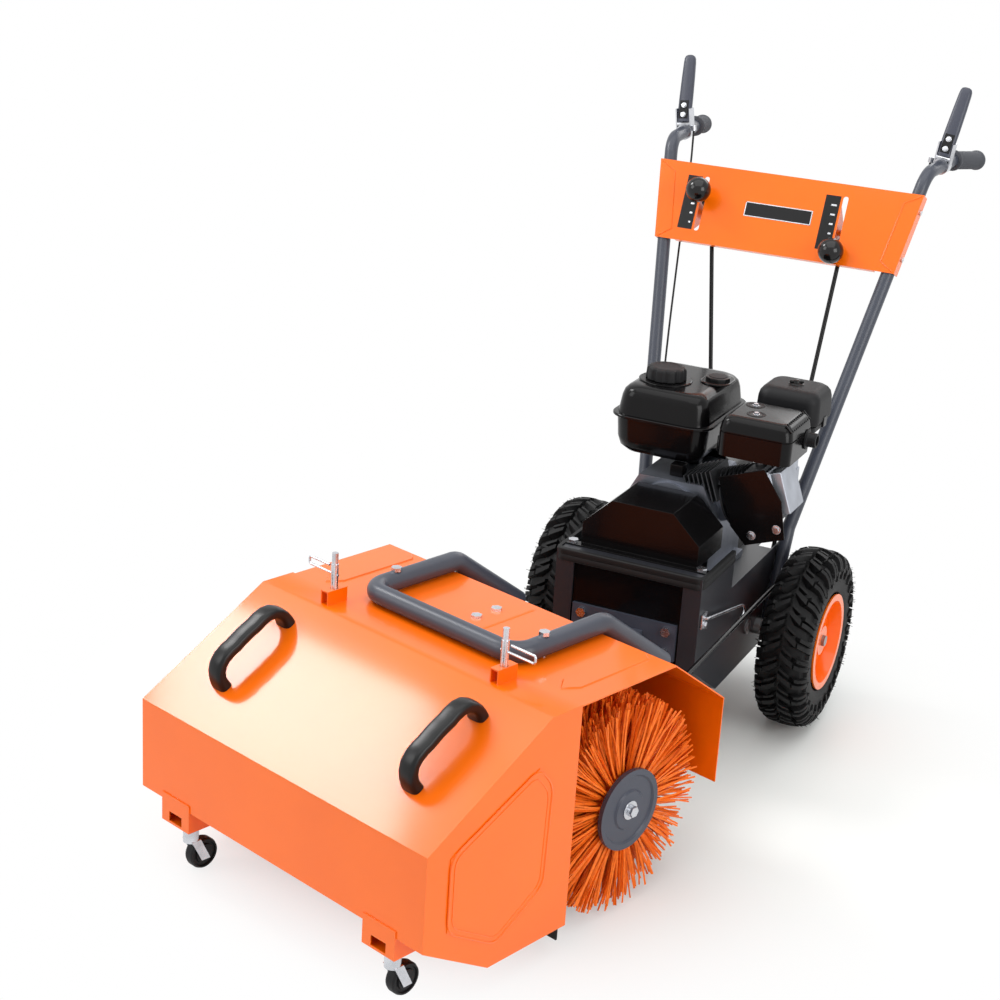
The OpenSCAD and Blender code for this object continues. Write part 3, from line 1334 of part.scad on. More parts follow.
module fuel_cap() {
  color("black") place() translate([cap_at.x, cap_at.y, tank_top_z + gap]) difference() {
    union() {
      cylinder(r = cap_r, h = cap_h);
      for (a = [0:cap_rib_a:359]) rotate([0, 0, a]) translate([cap_r - cap_rib_r / 2, 0, 0])
        cylinder(r = cap_rib_r, h = cap_h - cap_rib_r);
    }
    translate([0, 0, -over]) cylinder(r = cap_neck_r + run, h = cap_neck_h + over);
  }
}

// Handlebars and controls
module handlebars() {
  color("dimgray") place() both_sides() tube(bar_points, bar_r, bar_bend);
}

module hand_grips() {
  dir = unit(grip_end - grip_start);
  color("darkslategray") place() both_sides() difference() {
    union() {
      rod(grip_start + dir * grip_in, grip_end, grip_r);
      for (i = [0:grip_rings - 1]) rod(grip_start + dir * (grip_in + i * grip_ring_step),
        grip_start + dir * (grip_in + i * grip_ring_step + grip_ring_step / 2), grip_r + grip_ring_h);
      translate(grip_end) sphere(grip_end_r);
    }
    rod(grip_start - dir * grip_r, grip_end - dir * (grip_bore_in - seat), bar_r + run);
    rod(grip_start - dir * grip_r * 3, grip_start + dir * grip_in, grip_end_r * 2);
  }
}

module at_panel() { translate(panel_low) rotate([90 - bar_lean, 0, 0]) children(); }

module control_panel() {
  low = panel_half(0);
  high = panel_half(panel_h);
  fold = [[low, 0], [high, panel_h], [high + sheet_t, panel_h], [low + sheet_t, 0]];
  color("darkorange") place() {
    lever_pedestals();
    at_panel() difference() {
      union() {
        translate([0, 0, panel_front]) linear_extrude(sheet_t)
          polygon([[-low - sheet_t, 0], [-high - sheet_t, panel_h],
            [high + sheet_t, panel_h], [low + sheet_t, 0]]);
        both_sides() translate([0, 0, panel_front - panel_fold])
          linear_extrude(panel_fold + over) polygon(fold);
        for (v = [0, panel_h - sheet_t]) box([-bar_x(panel_low_z) + bar_d, v, panel_front - panel_hem],
          [bar_x(panel_low_z) - bar_d, v + sheet_t, panel_front + over]);
      }
      for (x = [speed_slot_x, angle_slot_x]) translate([0, 0, panel_front])
        slot([x, (panel_h - panel_slot_l) / 2], [x, (panel_h + panel_slot_l) / 2], panel_slot_w / 2, sheet_t);
    }
  }
}
// Brackets behind the panel that carry the lever pivots
module lever_pedestals() {
  for (x = [speed_slot_x, angle_slot_x]) translate([x - lever_t - ear_t - pin_room, 0, 0]) {
    side_prism([[panel_back(panel_hem).x, panel_back(panel_hem).y], [panel_back(panel_h - panel_hem).x,
      panel_back(panel_h - panel_hem).y], lever_pivot + [lever_hub_r / 2, lever_hub_r / 2],
      lever_pivot - [0, lever_hub_r]], 0, ear_t);
    along_x(0, 2 * lever_t + ear_t + pin_room, crank_pin_r, lever_pivot.x, lever_pivot.y);
  }
}
// Point on the back of the panel at a height along it, in Y and Z
function panel_back(v) = [panel_low.y + v * sin(bar_lean) - (panel_front + sheet_t / 2) * cos(bar_lean),
  panel_low_z + v * cos(bar_lean) + (panel_front + sheet_t / 2) * sin(bar_lean)];

module at_bracket() { translate(bracket_at) rotate([0, lever_tilt, 0]) children(); }

module lever_brackets() {
  ear_x = hand_lever_w / 2 + gap;
  color("silver") place() both_sides() {
    difference() {
      union() {
        rod(bracket_at - bracket_l / 2 * unit(bar_run),
          bracket_at + bracket_l / 2 * unit(bar_run), bar_r + bracket_t);
        at_bracket() {
          both_sides() box([ear_x, -bracket_l / 2, 0],
            [ear_x + ear_t, bracket_l / 2, lever_rise + lever_pin_r * 2]);
          box([-ear_x - ear_t, -bracket_l / 2, bar_r], [ear_x + ear_t, bracket_l / 2, bar_r + bracket_t]);
          upright([-stop_x, -stop_y], stop_z, stop_z + stop_h, stop_r);
          box([-stop_x, -stop_y, stop_z], [-ear_x, -stop_y + stop_r, stop_z + stop_h]);
        }
      }
      rod(bracket_at - bracket_l * unit(bar_run), bracket_at + bracket_l * unit(bar_run), bar_r + run);
      at_bracket() upright([-stop_x, -stop_y], stop_z - over, stop_z + stop_h + over, cable_r + gap);
    }
    at_bracket() along_x(-ear_x - ear_t, ear_x + ear_t, lever_pin_r, 0, lever_rise);
  }
}
module hand_lever(side) {
  base = hand_lever_w / 2;
  tip = base * lever_tip_share;
  color("black") place() sided(side) at_bracket() translate([0, 0, lever_rise])
    rotate([-lever_lean, 0, 0]) difference() {
    union() {
      rotate([90, 0, 0]) translate([0, 0, -lever_depth / 2]) linear_extrude(lever_depth)
        polygon([[-base, 0], [-tip, hand_lever_l], [tip, hand_lever_l], [base, 0]]);
      along_x(-base, base, lever_depth / 2, 0, 0);
    }
    rotate([90, 0, 0]) translate([0, 0, -lever_depth]) linear_extrude(1.5 * lever_depth - bracket_t)
      polygon([[-base + bracket_t, -lever_depth], [-tip + bracket_t, hand_lever_l - bracket_t],
        [tip - bracket_t, hand_lever_l - bracket_t], [base - bracket_t, -lever_depth]]);
    along_x(-base - over, base + over, lever_pin_r + run, 0, 0);
  }
}
module left_hand_lever() { hand_lever(-1); }
module right_hand_lever() { hand_lever(1); }

// Swept tube with eight sides through points chosen by hand
module swept(points, r) {
  n = len(points);
  sides = 8;
  ring = [for (i = [0:n - 1]) let (t = unit(points[min(i + 1, n - 1)] - points[max(i - 1, 0)]),
    u = unit(cross(t, [0, 1, 0])), v = cross(t, u))
    for (k = [0:sides - 1]) points[i] + r * (cos(k * 360 / sides) * u + sin(k * 360 / sides) * v)];
  faces = concat([[for (k = [sides - 1:-1:0]) k]], [[for (k = [0:sides - 1]) (n - 1) * sides + k]],
    [for (i = [0:n - 2], k = [0:sides - 1]) [i * sides + k, i * sides + (k + 1) % sides,
      (i + 1) * sides + (k + 1) % sides, (i + 1) * sides + k]]);
  polyhedron(ring, faces);
}
module clutch_cables() {
  color("black") place() both_sides() swept(cable_route, cable_r);
}

// Control lever in its own plane, with a slot for the rod's pin and a round knob
module control_lever(x, up) {
  color("black") place() translate([x, lever_pivot.x, lever_pivot.y]) {
    rotate([-up, 0, 0]) {
      rotate([90, 0, -90]) translate([0, 0, -lever_t / 2]) difference() {
        union() {
          cylinder(r = lever_hub_r, h = lever_t);
          bar_plate([0, 0, 0], [lever_arm * lever_blade_share, 0, 0], lever_h / 2, lever_t);
          bar_plate([lever_arm, 0, 0], [lever_reach, 0, 0], lever_h / 5, lever_t);
        }
        translate([0, 0, -over]) cylinder(r = crank_pin_r + run, h = lever_t + 2 * over);
        slot([lever_arm * lever_slot_shares[0], 0],
          [lever_arm * lever_slot_shares[1], 0], link_slot_r, lever_t);
      }
      translate([0, -lever_reach, 0]) sphere(knob_d / 2);
    }
  }
}
module speed_lever() { control_lever(speed_slot_x, bar_lean + speed_angle); }
module angle_lever() { control_lever(angle_slot_x, bar_lean - lever_swing); }

module speed_rod() {
  low = speed_low_mid + speed_rod_rest;
  high = speed_high_mid + speed_rod_rest;
  color("black") place() {
    rod(low, high, rod_r);
    for (p = [low, high]) translate(p) sphere(eye_r);
    rod(low - [0, speed_pin_l, 0], low, link_pin_r);
    rod([speed_slot_x - lever_t - pin_room * pin_reach_share, high.y, high.z], high, link_pin_r);
  }
}

module angle_rod() {
  low_yz = angle_low_mid - rod_half_travel * rod_dir;
  high_yz = lever_up_mid - rod_half_travel * rod_dir;
  low = [angle_rod_x, low_yz.x, low_yz.y];
  high = [angle_rod_x, high_yz.x, high_yz.y];
  color("black") place() {
    rod(low, high, rod_r);
    for (p = [low, high]) translate(p) sphere(eye_r);
    rod([bell_in_x - gap, low.y, low.z], low, link_pin_r);
    rod([angle_slot_x - lever_t, high.y, high.z], high, link_pin_r);
  }
}

// Arm in Y and Z with a slot along it for a link pin
module slotted_arm(length, angle) {
  rotate([90, 0, 90]) rotate([0, 0, angle]) difference() {
    bar_plate([0, 0, 0], [length * arm_slot_shares[1], 0, 0], crank_w / 2, crank_t);
    slot([length * arm_slot_shares[0], 0], [length * arm_slot_shares[1], 0], link_slot_r, crank_t);
  }
}

module bell_crank() {
  color("gray") place() translate([0, bell_pivot.x, bell_pivot.y]) {
    along_x(bell_in_x, bell_out_x + crank_t, crank_pin_r, 0, 0);
    translate([bell_in_x, 0, 0]) slotted_arm(bell_back, 180 - bar_lean + bell_swing);
    translate([bell_out_x, 0, 0]) slotted_arm(bell_up, 90 + bell_swing);
  }
}

module link_rod() {
  front = [link_arm_x, -pivot_d - link_half_travel, link_z];
  rear = [link_arm_x, bell_pivot.x - link_half_travel, link_z];
  color("silver") place() {
    rod(front, rear, rod_r);
    for (p = [front, rear]) translate(p) sphere(eye_r);
    rod(front, front + [0, 0, rod_r + 2 * gap + link_arm_t + rod_r], link_pin_r);
    rod(rear - [rod_r + gap + crank_t + gap, 0, 0], rear, link_pin_r);
  }
}

// Crank that shifts the friction wheel: a hanging arm with the fork pin, and a side arm for the speed rod
module shift_crank() {
  color("gray") place() translate([fork_pivot_x, fork_crank_y, fork_pivot_z]) {
    rod([0, -fork_crank_y + chassis_rear_y - 2 * hanger_t, 0], [0, crank_t, 0], crank_pin_r);
    rotate([0, fork_angle, 0]) {
      translate([0, crank_t, 0]) rotate([90, 0, 0]) {
        bar_plate([0, 0, 0], [0, -fork_arm, 0], crank_w / 2, crank_t);
        difference() {
          bar_plate([0, 0, 0], [-fork_side_arm * side_slot_shares[1], 0, 0], crank_w / 2 + loose, crank_t);
          slot([-fork_side_arm * side_slot_shares[0], 0], [-fork_side_arm * side_slot_shares[1], 0],
            link_slot_r + loose / 2, crank_t);
        }
      }
      rod([0, cross_y - fork_crank_y - 2 * fork_r, -fork_arm], [0, over, -fork_arm], fork_r);
    }
  }
}

brush_hood();
push_tube();
hood_bolts();
gearbox_housing();
latch_pins();
left_r_clip();
right_r_clip();
bin_shell();
bin_handles();
bin_lip();
left_castor_fork();
right_castor_fork();
left_castor_wheel();
right_castor_wheel();
brush_shaft();
worm_wheel();
left_bristles();
right_bristles();
brush_end_discs();
worm_shaft();
chassis_frame();
shaft_bearings();
front_cover();
swivel_boom();
belt_cover();
chassis_bolts();
crankshaft();
drive_belts();
brush_drive_shaft();
drive_disc();
friction_wheel();
cross_shaft();
drive_axle();
wheel_rims();
tyres();
crankcase();
cylinder_head();
rocker_cover();
blower_housing();
recoil_cover();
muffler();
muffler_shield();
carburettor();
air_cleaner();
fuel_tank();
fuel_cap();
handlebars();
hand_grips();
control_panel();
lever_brackets();
left_hand_lever();
right_hand_lever();
clutch_cables();
speed_lever();
angle_lever();
speed_rod();
angle_rod();
bell_crank();
link_rod();
shift_crank();
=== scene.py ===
"""Looks of a walk-behind power brush sweeper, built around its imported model.

Lengths in the tables are millimetres, in one of two frames. The axle frame has
its origin on the floor under the wheel axle and its front along -Y. The head
frame is the same, moved to the swivel and turned with the brush head.
"""
import json
import math
import random

import bmesh
import bpy
import numpy as np
from mathutils import Matrix, Vector


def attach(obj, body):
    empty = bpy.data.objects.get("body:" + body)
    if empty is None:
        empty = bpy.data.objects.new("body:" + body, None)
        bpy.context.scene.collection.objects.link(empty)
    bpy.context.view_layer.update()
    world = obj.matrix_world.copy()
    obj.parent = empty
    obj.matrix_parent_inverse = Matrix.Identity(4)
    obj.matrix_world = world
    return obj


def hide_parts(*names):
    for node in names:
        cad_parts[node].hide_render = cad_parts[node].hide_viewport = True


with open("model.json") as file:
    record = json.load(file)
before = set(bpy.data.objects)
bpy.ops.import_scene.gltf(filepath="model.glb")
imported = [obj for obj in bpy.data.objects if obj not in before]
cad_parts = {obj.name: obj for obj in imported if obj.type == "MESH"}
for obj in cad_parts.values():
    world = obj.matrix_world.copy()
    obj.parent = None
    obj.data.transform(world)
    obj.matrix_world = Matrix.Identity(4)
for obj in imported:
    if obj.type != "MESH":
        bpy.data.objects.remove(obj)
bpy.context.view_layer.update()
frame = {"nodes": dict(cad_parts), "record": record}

MM = 0.001
# The axle frame's origin in the model, the head's turn in degrees, the swivel and the brush
ORIGIN = Vector((98.0205, 286.275, 0.0))
HEAD_YAW = -17.8
PIVOT_Y = -480.0
AXLE = Matrix.Scale(MM, 4) @ Matrix.Translation(ORIGIN)
HEAD = AXLE @ Matrix.Translation((0, PIVOT_Y, 0)) @ Matrix.Rotation(math.radians(HEAD_YAW), 4, "Z")
BRUSH_Y, BRUSH_Z = -238.0, 176.0


# Camera, light and floor

CAMERA_AT = Vector((1080.02, -3232.56, 1587.5))
CAMERA_AZIMUTH, CAMERA_ELEVATION, CAMERA_ROLL = 24.6415, 19.9503, 3.6457
PHOTO_PX, FOCAL_PX, SENSOR = 1000.0, 1957.9, 36.0
CLIP_NEAR, CLIP_FAR = 0.05, 100.0


def make_camera():
    """The photo's view: a place, three turns and a focal length."""
    azimuth, elevation, roll = (math.radians(a) for a in (CAMERA_AZIMUTH, CAMERA_ELEVATION, CAMERA_ROLL))
    back = Vector((math.sin(azimuth) * math.cos(elevation),
                   -math.cos(azimuth) * math.cos(elevation), math.sin(elevation)))
    right = (-back).cross(Vector((0, 0, 1))).normalized()
    up = right.cross(-back)
    turned_right = right * math.cos(roll) + up * math.sin(roll)
    turned_up = up * math.cos(roll) - right * math.sin(roll)
    data = bpy.data.cameras.new("camera")
    data.sensor_width = SENSOR
    data.lens = SENSOR * FOCAL_PX / PHOTO_PX
    data.clip_start, data.clip_end = CLIP_NEAR, CLIP_FAR
    camera = bpy.data.objects.new("camera", data)
    bpy.context.scene.collection.objects.link(camera)
    turn = Matrix((turned_right, turned_up, back)).transposed().to_4x4()
    camera.matrix_world = Matrix.Translation(AXLE @ CAMERA_AT) @ turn
    bpy.context.scene.camera = camera


def area_light(name, place, aim, size, watts):
    """A rectangular lamp at a place, turned to what it lights."""
    data = bpy.data.lights.new(name, "AREA")
    data.shape = "RECTANGLE"
    data.size, data.size_y = size
    data.energy = watts
    lamp = bpy.data.objects.new(name, data)
    bpy.context.scene.collection.objects.link(lamp)
    lamp.location = place
    lamp.rotation_euler = (Vector(aim) - Vector(place)).to_track_quat("-Z", "Y").to_euler()


def seen_ray(nodes, links):
    """One for rays from the camera, mirrors and glass, zero for the rest."""
    path = nodes.new("ShaderNodeLightPath")
    first, second = nodes.new("ShaderNodeMath"), nodes.new("ShaderNodeMath")
    first.operation = second.operation = "MAXIMUM"
    links.new(path.outputs["Is Camera Ray"], first.inputs[0])
    links.new(path.outputs["Is Glossy Ray"], first.inputs[1])
    links.new(first.outputs[0], second.inputs[0])
    links.new(path.outputs["Is Transmission Ray"], second.inputs[1])
    return second.outputs[0]


SOFT_LIGHT, SOFT_STRENGTH = (0.97, 0.98, 1.0, 1), 0.5


def make_world():
    """Even light from all sides in front of a white backdrop."""
    world = bpy.data.worlds.new("studio")
    world.use_nodes = True
    bpy.context.scene.world = world
    nodes, links = world.node_tree.nodes, world.node_tree.links
    nodes.clear()
    out = nodes.new("ShaderNodeOutputWorld")
    mix = nodes.new("ShaderNodeMixShader")
    soft = nodes.new("ShaderNodeBackground")
    soft.inputs["Color"].default_value = SOFT_LIGHT
    soft.inputs["Strength"].default_value = SOFT_STRENGTH
    seen = nodes.new("ShaderNodeBackground")
    seen.inputs["Color"].default_value = (1, 1, 1, 1)
    seen.inputs["Strength"].default_value = 1.0
    links.new(seen_ray(nodes, links), mix.inputs[0])
    links.new(soft.outputs[0], mix.inputs[1])
    links.new(seen.outputs[0], mix.inputs[2])
    links.new(mix.outputs[0], out.inputs["Surface"])


FLOOR_SIZE, FLOOR_DROP, FLOOR_COLOUR = 40, 0.0005, (0.87, 0.885, 0.855, 1)
FLOOR_ROUGH, FLOOR_SPECULAR, PAPER_GRAIN, PAPER_BUMP = 0.6, 0.2, 160, 0.02
# Distances from the middle, in metres, between which the floor fades to white
FADE_START, FADE_END = 0.35, 0.95


def make_floor():
    """Pale paper that fades to white away from the object and keeps its shadow."""
    bpy.ops.mesh.primitive_plane_add(size=FLOOR_SIZE, location=(0, 0, -FLOOR_DROP))
    floor = bpy.context.object
    floor.name = "floor"
    skin = bpy.data.materials.new("floor_paper")
    skin.use_nodes = True
    nodes, links = skin.node_tree.nodes, skin.node_tree.links
    shader = nodes["Principled BSDF"]
    shader.inputs["Base Color"].default_value = FLOOR_COLOUR
    shader.inputs["Roughness"].default_value = FLOOR_ROUGH
    shader.inputs["Specular IOR Level"].default_value = FLOOR_SPECULAR
    noise = nodes.new("ShaderNodeTexNoise")
    noise.inputs["Scale"].default_value = PAPER_GRAIN
    bump = nodes.new("ShaderNodeBump")
    bump.inputs["Strength"].default_value = PAPER_BUMP
    links.new(noise.outputs["Fac"], bump.inputs["Height"])
    links.new(bump.outputs["Normal"], shader.inputs["Normal"])
    place = nodes.new("ShaderNodeTexCoord")
    away = nodes.new("ShaderNodeVectorMath")
    away.operation = "LENGTH"
    links.new(place.outputs["Object"], away.inputs[0])
    fade = nodes.new("ShaderNodeMapRange")
    fade.interpolation_type = "SMOOTHSTEP"
    fade.inputs["From Min"].default_value = FADE_START
    fade.inputs["From Max"].default_value = FADE_END
    links.new(away.outputs["Value"], fade.inputs["Value"])
    share = nodes.new("ShaderNodeMath")
    share.operation = "MULTIPLY"
    links.new(fade.outputs["Result"], share.inputs[0])
    links.new(seen_ray(nodes, links), share.inputs[1])
    glow = nodes.new("ShaderNodeEmission")
    mix = nodes.new("ShaderNodeMixShader")
    links.new(share.outputs[0], mix.inputs[0])
    links.new(shader.outputs["BSDF"], mix.inputs[1])
    links.new(glow.outputs["Emission"], mix.inputs[2])
    links.new(mix.outputs[0], nodes["Material Output"].inputs["Surface"])
    floor.data.materials.append(skin)


# Name, place, aim, size (metres) and watts of each lamp
LAMPS = (("top", (0.2, -0.6, 4.2), (0, -0.1, 0.2), (4.5, 4.5), 88),
         ("key", (-3.4, -3.2, 3.0), (0, -0.2, 0.4), (2.4, 2.4), 58),
         ("slope", (-2.45, -0.2, 2.9), (-0.12, -0.72, 0.33), (0.9, 0.9), 40),
         ("fill", (3.8, -1.6, 2.0), (0, 0, 0.4), (2.2, 2.2), 66),
         ("rim", (0.5, 4.2, 2.6), (0, 0, 0.5), (3.0, 2.0), 40))

make_camera()
make_world()
for lamp_row in LAMPS:
    area_light(*lamp_row)
make_floor()
bpy.context.scene.view_settings.view_transform = "Standard"


# Materials

def linear(colour):
    """A screen colour, 0 to 255, as the renderer counts light."""
    return tuple((c / 12.92 if c <= 0.04045 else ((c + 0.055) / 1.055) ** 2.4) for c in
                 (v / 255 for v in colour))


GLOSS_SPREAD, LEAST_ROUGH, GRAIN_DEPTH = 0.06, 0.02, 0.0004
PATCH_DETAIL, GRAIN_DETAIL, TINT_FROM, TINT_TO = 4, 2, 0.3, 0.7


def finish_of(name, colour, rough, metal=0.0, coat=0.0, coat_rough=0.06, specular=0.5,
              spread=0.08, patch=9.0, grain=900.0, bump=0.05):
    """A finish with uneven colour in patches, uneven gloss and a fine grain."""
    skin = bpy.data.materials.new(name)
    skin.use_nodes = True
    nodes, links = skin.node_tree.nodes, skin.node_tree.links
    shader = nodes["Principled BSDF"]
    shader.inputs["Metallic"].default_value = metal
    shader.inputs["Coat Weight"].default_value = coat
    shader.inputs["Coat Roughness"].default_value = coat_rough
    shader.inputs["Specular IOR Level"].default_value = specular
    place = nodes.new("ShaderNodeTexCoord")

    def noise(scale, detail):
        texture = nodes.new("ShaderNodeTexNoise")
        texture.inputs["Scale"].default_value = scale
        texture.inputs["Detail"].default_value = detail
        links.new(place.outputs["Object"], texture.inputs["Vector"])
        return texture.outputs["Fac"]

    patches, fine = noise(patch, PATCH_DETAIL), noise(grain, GRAIN_DETAIL)
    tint = nodes.new("ShaderNodeValToRGB")
    base = linear(colour)
    tint.color_ramp.elements[0].position = TINT_FROM
    tint.color_ramp.elements[1].position = TINT_TO
    tint.color_ramp.elements[0].color = (*[c * (1 - spread) for c in base], 1)
    tint.color_ramp.elements[1].color = (*[min(1, c * (1 + spread)) for c in base], 1)
    links.new(patches, tint.inputs["Fac"])
    links.new(tint.outputs["Color"], shader.inputs["Base Color"])
    gloss = nodes.new("ShaderNodeMapRange")
    gloss.inputs["To Min"].default_value = max(LEAST_ROUGH, rough - GLOSS_SPREAD)
    gloss.inputs["To Max"].default_value = min(1, rough + GLOSS_SPREAD)
    links.new(fine, gloss.inputs["Value"])
    links.new(gloss.outputs["Result"], shader.inputs["Roughness"])
    relief = nodes.new("ShaderNodeBump")
    relief.inputs["Strength"].default_value = bump
    relief.inputs["Distance"].default_value = GRAIN_DEPTH
    links.new(fine, relief.inputs["Height"])
    links.new(relief.outputs["Normal"], shader.inputs["Normal"])
    return skin


SKINS = {
    "orange_paint": finish_of("orange_powder_coat", (255, 110, 2), 0.32, coat=0.6, coat_rough=0.1,
                              specular=0.18, spread=0.05, patch=5, grain=420, bump=0.04),
    "dark_paint": finish_of("graphite_powder_coat", (60, 64, 75), 0.36, grain=1500, bump=0.12, spread=0.1),
    "black_paint": finish_of("black_enamel", (10, 9, 10), 0.2, coat=0.06, specular=0.16, grain=600,
                             bump=0.04, spread=0.2),
    "zinc": finish_of("bright_zinc", (205, 207, 212), 0.26, metal=1, grain=500, patch=60, spread=0.12),
    "steel": finish_of("turned_steel", (150, 150, 152), 0.34, metal=1, grain=800, patch=80, spread=0.1),
    "cast_alloy": finish_of("cast_aluminium", (176, 180, 188), 0.5, metal=1, grain=700, patch=30,
                            spread=0.12, bump=0.3),
    "bronze": finish_of("gear_bronze", (172, 116, 60), 0.36, metal=1, grain=600, patch=40),
    "bristle": finish_of("bristle_plastic", (255, 116, 26), 0.5, specular=0.25, spread=0.2, patch=160,
                         grain=1200, bump=0.1),
    "black_plastic": finish_of("black_plastic", (14, 14, 15), 0.3, specular=0.3, grain=1300, bump=0.14,
                               spread=0.15),
    "matte_black": finish_of("matte_black_plastic", (19, 19, 21), 0.52, specular=0.25, grain=1100,
                             bump=0.25, spread=0.15),
    "knob_plastic": finish_of("knob_plastic", (10, 9, 10), 0.16, coat=0.2, specular=0.3, grain=700,
                              bump=0.02, spread=0.15),
    "grip_rubber": finish_of("grip_rubber", (66, 68, 74), 0.66, grain=1400, bump=0.3, spread=0.12),
    "black_rubber": finish_of("black_rubber", (17, 17, 18), 0.6, specular=0.25, bump=0.2, spread=0.15),
    "tyre": finish_of("tyre_rubber", (15, 15, 16), 0.6, specular=0.25, grain=650, bump=0.3, spread=0.2,
                      patch=25),
}
# Finishes of single pieces that differ from their slot's
OWN_SKINS = {
    "cylinder_head": finish_of("sooty_cast_alloy", (74, 75, 78), 0.5, metal=1, grain=700, patch=30,
                               spread=0.2, bump=0.3),
    "blower_housing": SKINS["black_paint"],
    "chassis_frame": finish_of("dark_chassis_coat", (34, 35, 40), 0.4, grain=1500, bump=0.12, spread=0.1),
    # The crankcase's alloy is painted darker than the other cast parts: painted shade for the shadow over its
    # side
    "crankcase": finish_of("shade_darkened_cast_alloy", (132, 136, 146), 0.46, metal=1, grain=700, patch=30,
                           spread=0.15, bump=0.3),
    "lever_sleeve": finish_of("slate_sleeve", (62, 65, 77), 0.36, specular=0.4, grain=1300, bump=0.1,
                              spread=0.1),
    "brush_end_discs": finish_of("slate_plastic", (58, 61, 74), 0.34, bump=0.08, spread=0.1),
}
NODE_SLOT = {row["node"]: row["material_slot"] for row in frame["record"]["subparts"]}
for node_name, node_object in frame["nodes"].items():
    node_object.data.materials.clear()
    node_object.data.materials.append(OWN_SKINS.get(node_name) or SKINS[NODE_SLOT[node_name]])


# Ways to make a mesh: each gives corners and faces in millimetres

TINY = 1e-6
# Corners this near count as one: in millimetres, and in metres on a CAD node
MERGE, CAD_MERGE = 1e-4, 2e-5
EASE_STEPS, EASE_ANGLE, CAD_EASE_ANGLE, CAD_FLAT_ANGLE = 2, 30, 32, 0.6
SMOOTH_ANGLE, ROUND_SIDES, WIRE_SIDES = 38, 36, 8


def joined(*shapes):
    """Several shapes as one."""
    corners, faces = [], []
    for shape_corners, shape_faces in shapes:
        start = len(corners)
        corners.extend(tuple(c) for c in shape_corners)
        faces.extend([tuple(i + start for i in f) for f in shape_faces])
    return corners, faces


def moved(shape, matrix):
    """The shape put elsewhere by a matrix."""
    return [tuple(matrix @ Vector(c)) for c in shape[0]], shape[1]


def mirrored(shape):
    """The shape on the other side of X = 0."""
    return [(-x, y, z) for x, y, z in shape[0]], [tuple(reversed(f)) for f in shape[1]]


def swept(path, radius, sides, closed=False):
    """A tube along a path. The radius is one number or one for each point."""
    points = [Vector(p) for p in path]
    count = len(points)
    radii = list(radius) if hasattr(radius, "__len__") else [radius] * count
    ways = []
    for i in range(count):
        before = points[i - 1] if closed or i > 0 else points[i]
        after = points[(i + 1) % count] if closed or i < count - 1 else points[i]
        ways.append((after - before).normalized())
    side = ways[0].orthogonal().normalized()
    corners, faces = [], []
    for i in range(count):
        if i > 0:
            side = ways[i - 1].rotation_difference(ways[i]) @ side
        other = ways[i].cross(side)
        for k in range(sides):
            a = 2 * math.pi * k / sides
            corners.append(points[i] + (side * math.cos(a) + other * math.sin(a)) * radii[i])
    for i in range(count if closed else count - 1):
        j = (i + 1) % count
        for k in range(sides):
            m = (k + 1) % sides
            faces.append((i * sides + k, i * sides + m, j * sides + m, j * sides + k))
    if not closed:
        faces.append(tuple(reversed(range(sides))))
        faces.append(tuple(range((count - 1) * sides, count * sides)))
    return corners, faces


def polygon(radius, sides):
    """A regular outline, counter-clockwise from the right."""
    angles = [2 * math.pi * k / sides for k in range(sides)]
    return [(radius * math.cos(a), radius * math.sin(a)) for a in angles]


def turned(profile, sides, ring_shape=False):
    """A solid of revolution about Z from (radius, height) pairs, bottom first.

    A ring shape has a hole through it: its last pair joins its first.
    """
    corners, faces, rings = [], [], []
    for r, h in profile:
        if r < TINY:
            rings.append([len(corners)] * sides)
            corners.append((0, 0, h))
        else:
            rings.append([len(corners) + k for k in range(sides)])
            corners.extend((x, y, h) for x, y in polygon(r, sides))
    for low, high in zip(rings, rings[1:] + rings[:1] if ring_shape else rings[1:]):
        for k in range(sides):
            m = (k + 1) % sides
            ring = []
            for i in (low[k], low[m], high[m], high[k]):
                if i not in ring:
                    ring.append(i)
            if len(ring) > 2:
                faces.append(tuple(ring))
    for ring, turn in ((rings[0], -1), (rings[-1], 1)):
        if ring[0] != ring[1] and not ring_shape:
            faces.append(tuple(ring[::turn]))
    return corners, faces


def prism(outline, low, high):
    """A flat outline, counter-clockwise in X and Y, raised from low to high."""
    count = len(outline)
    corners = [(x, y, low) for x, y in outline] + [(x, y, high) for x, y in outline]
    faces = [tuple(reversed(range(count))), tuple(range(count, 2 * count))]
    for i in range(count):
        j = (i + 1) % count
        faces.append((i, j, count + j, count + i))
    return corners, faces


def rounded_off(body, width, steps, angle):
    """The shape of a mesh in work, every edge sharper than the angle rounded."""
    bmesh.ops.recalc_face_normals(body, faces=body.faces)
    sharp = [e for e in body.edges if e.is_manifold and e.calc_face_angle(0) > math.radians(angle)]
    bmesh.ops.bevel(body, geom=sharp, offset=width, segments=steps, profile=0.5, affect="EDGES",
                    clamp_overlap=True)
    body.verts.index_update()
    result = [tuple(v.co) for v in body.verts], [tuple(v.index for v in f.verts) for f in body.faces]
    body.free()
    return result


def eased(shape, width):
    """The shape with its sharp edges rounded off."""
    body = bmesh.new()
    made = [body.verts.new(c) for c in shape[0]]
    for f in shape[1]:
        body.faces.new([made[i] for i in f])
    bmesh.ops.remove_doubles(body, verts=body.verts, dist=MERGE)
    return rounded_off(body, width, EASE_STEPS, EASE_ANGLE)


def block(low, high, width):
    """A box between two corners, its edges rounded to a width."""
    x0, y0, z0 = low
    x1, y1, z1 = high
    return eased(prism([(x0, y0), (x1, y0), (x1, y1), (x0, y1)], z0, z1), width)


def upright_on(place, way):
    """The matrix that puts Z along a direction at a place."""
    return Matrix.Translation(Vector(place)) @ Vector(way).to_track_quat("Z", "Y").to_matrix().to_4x4()


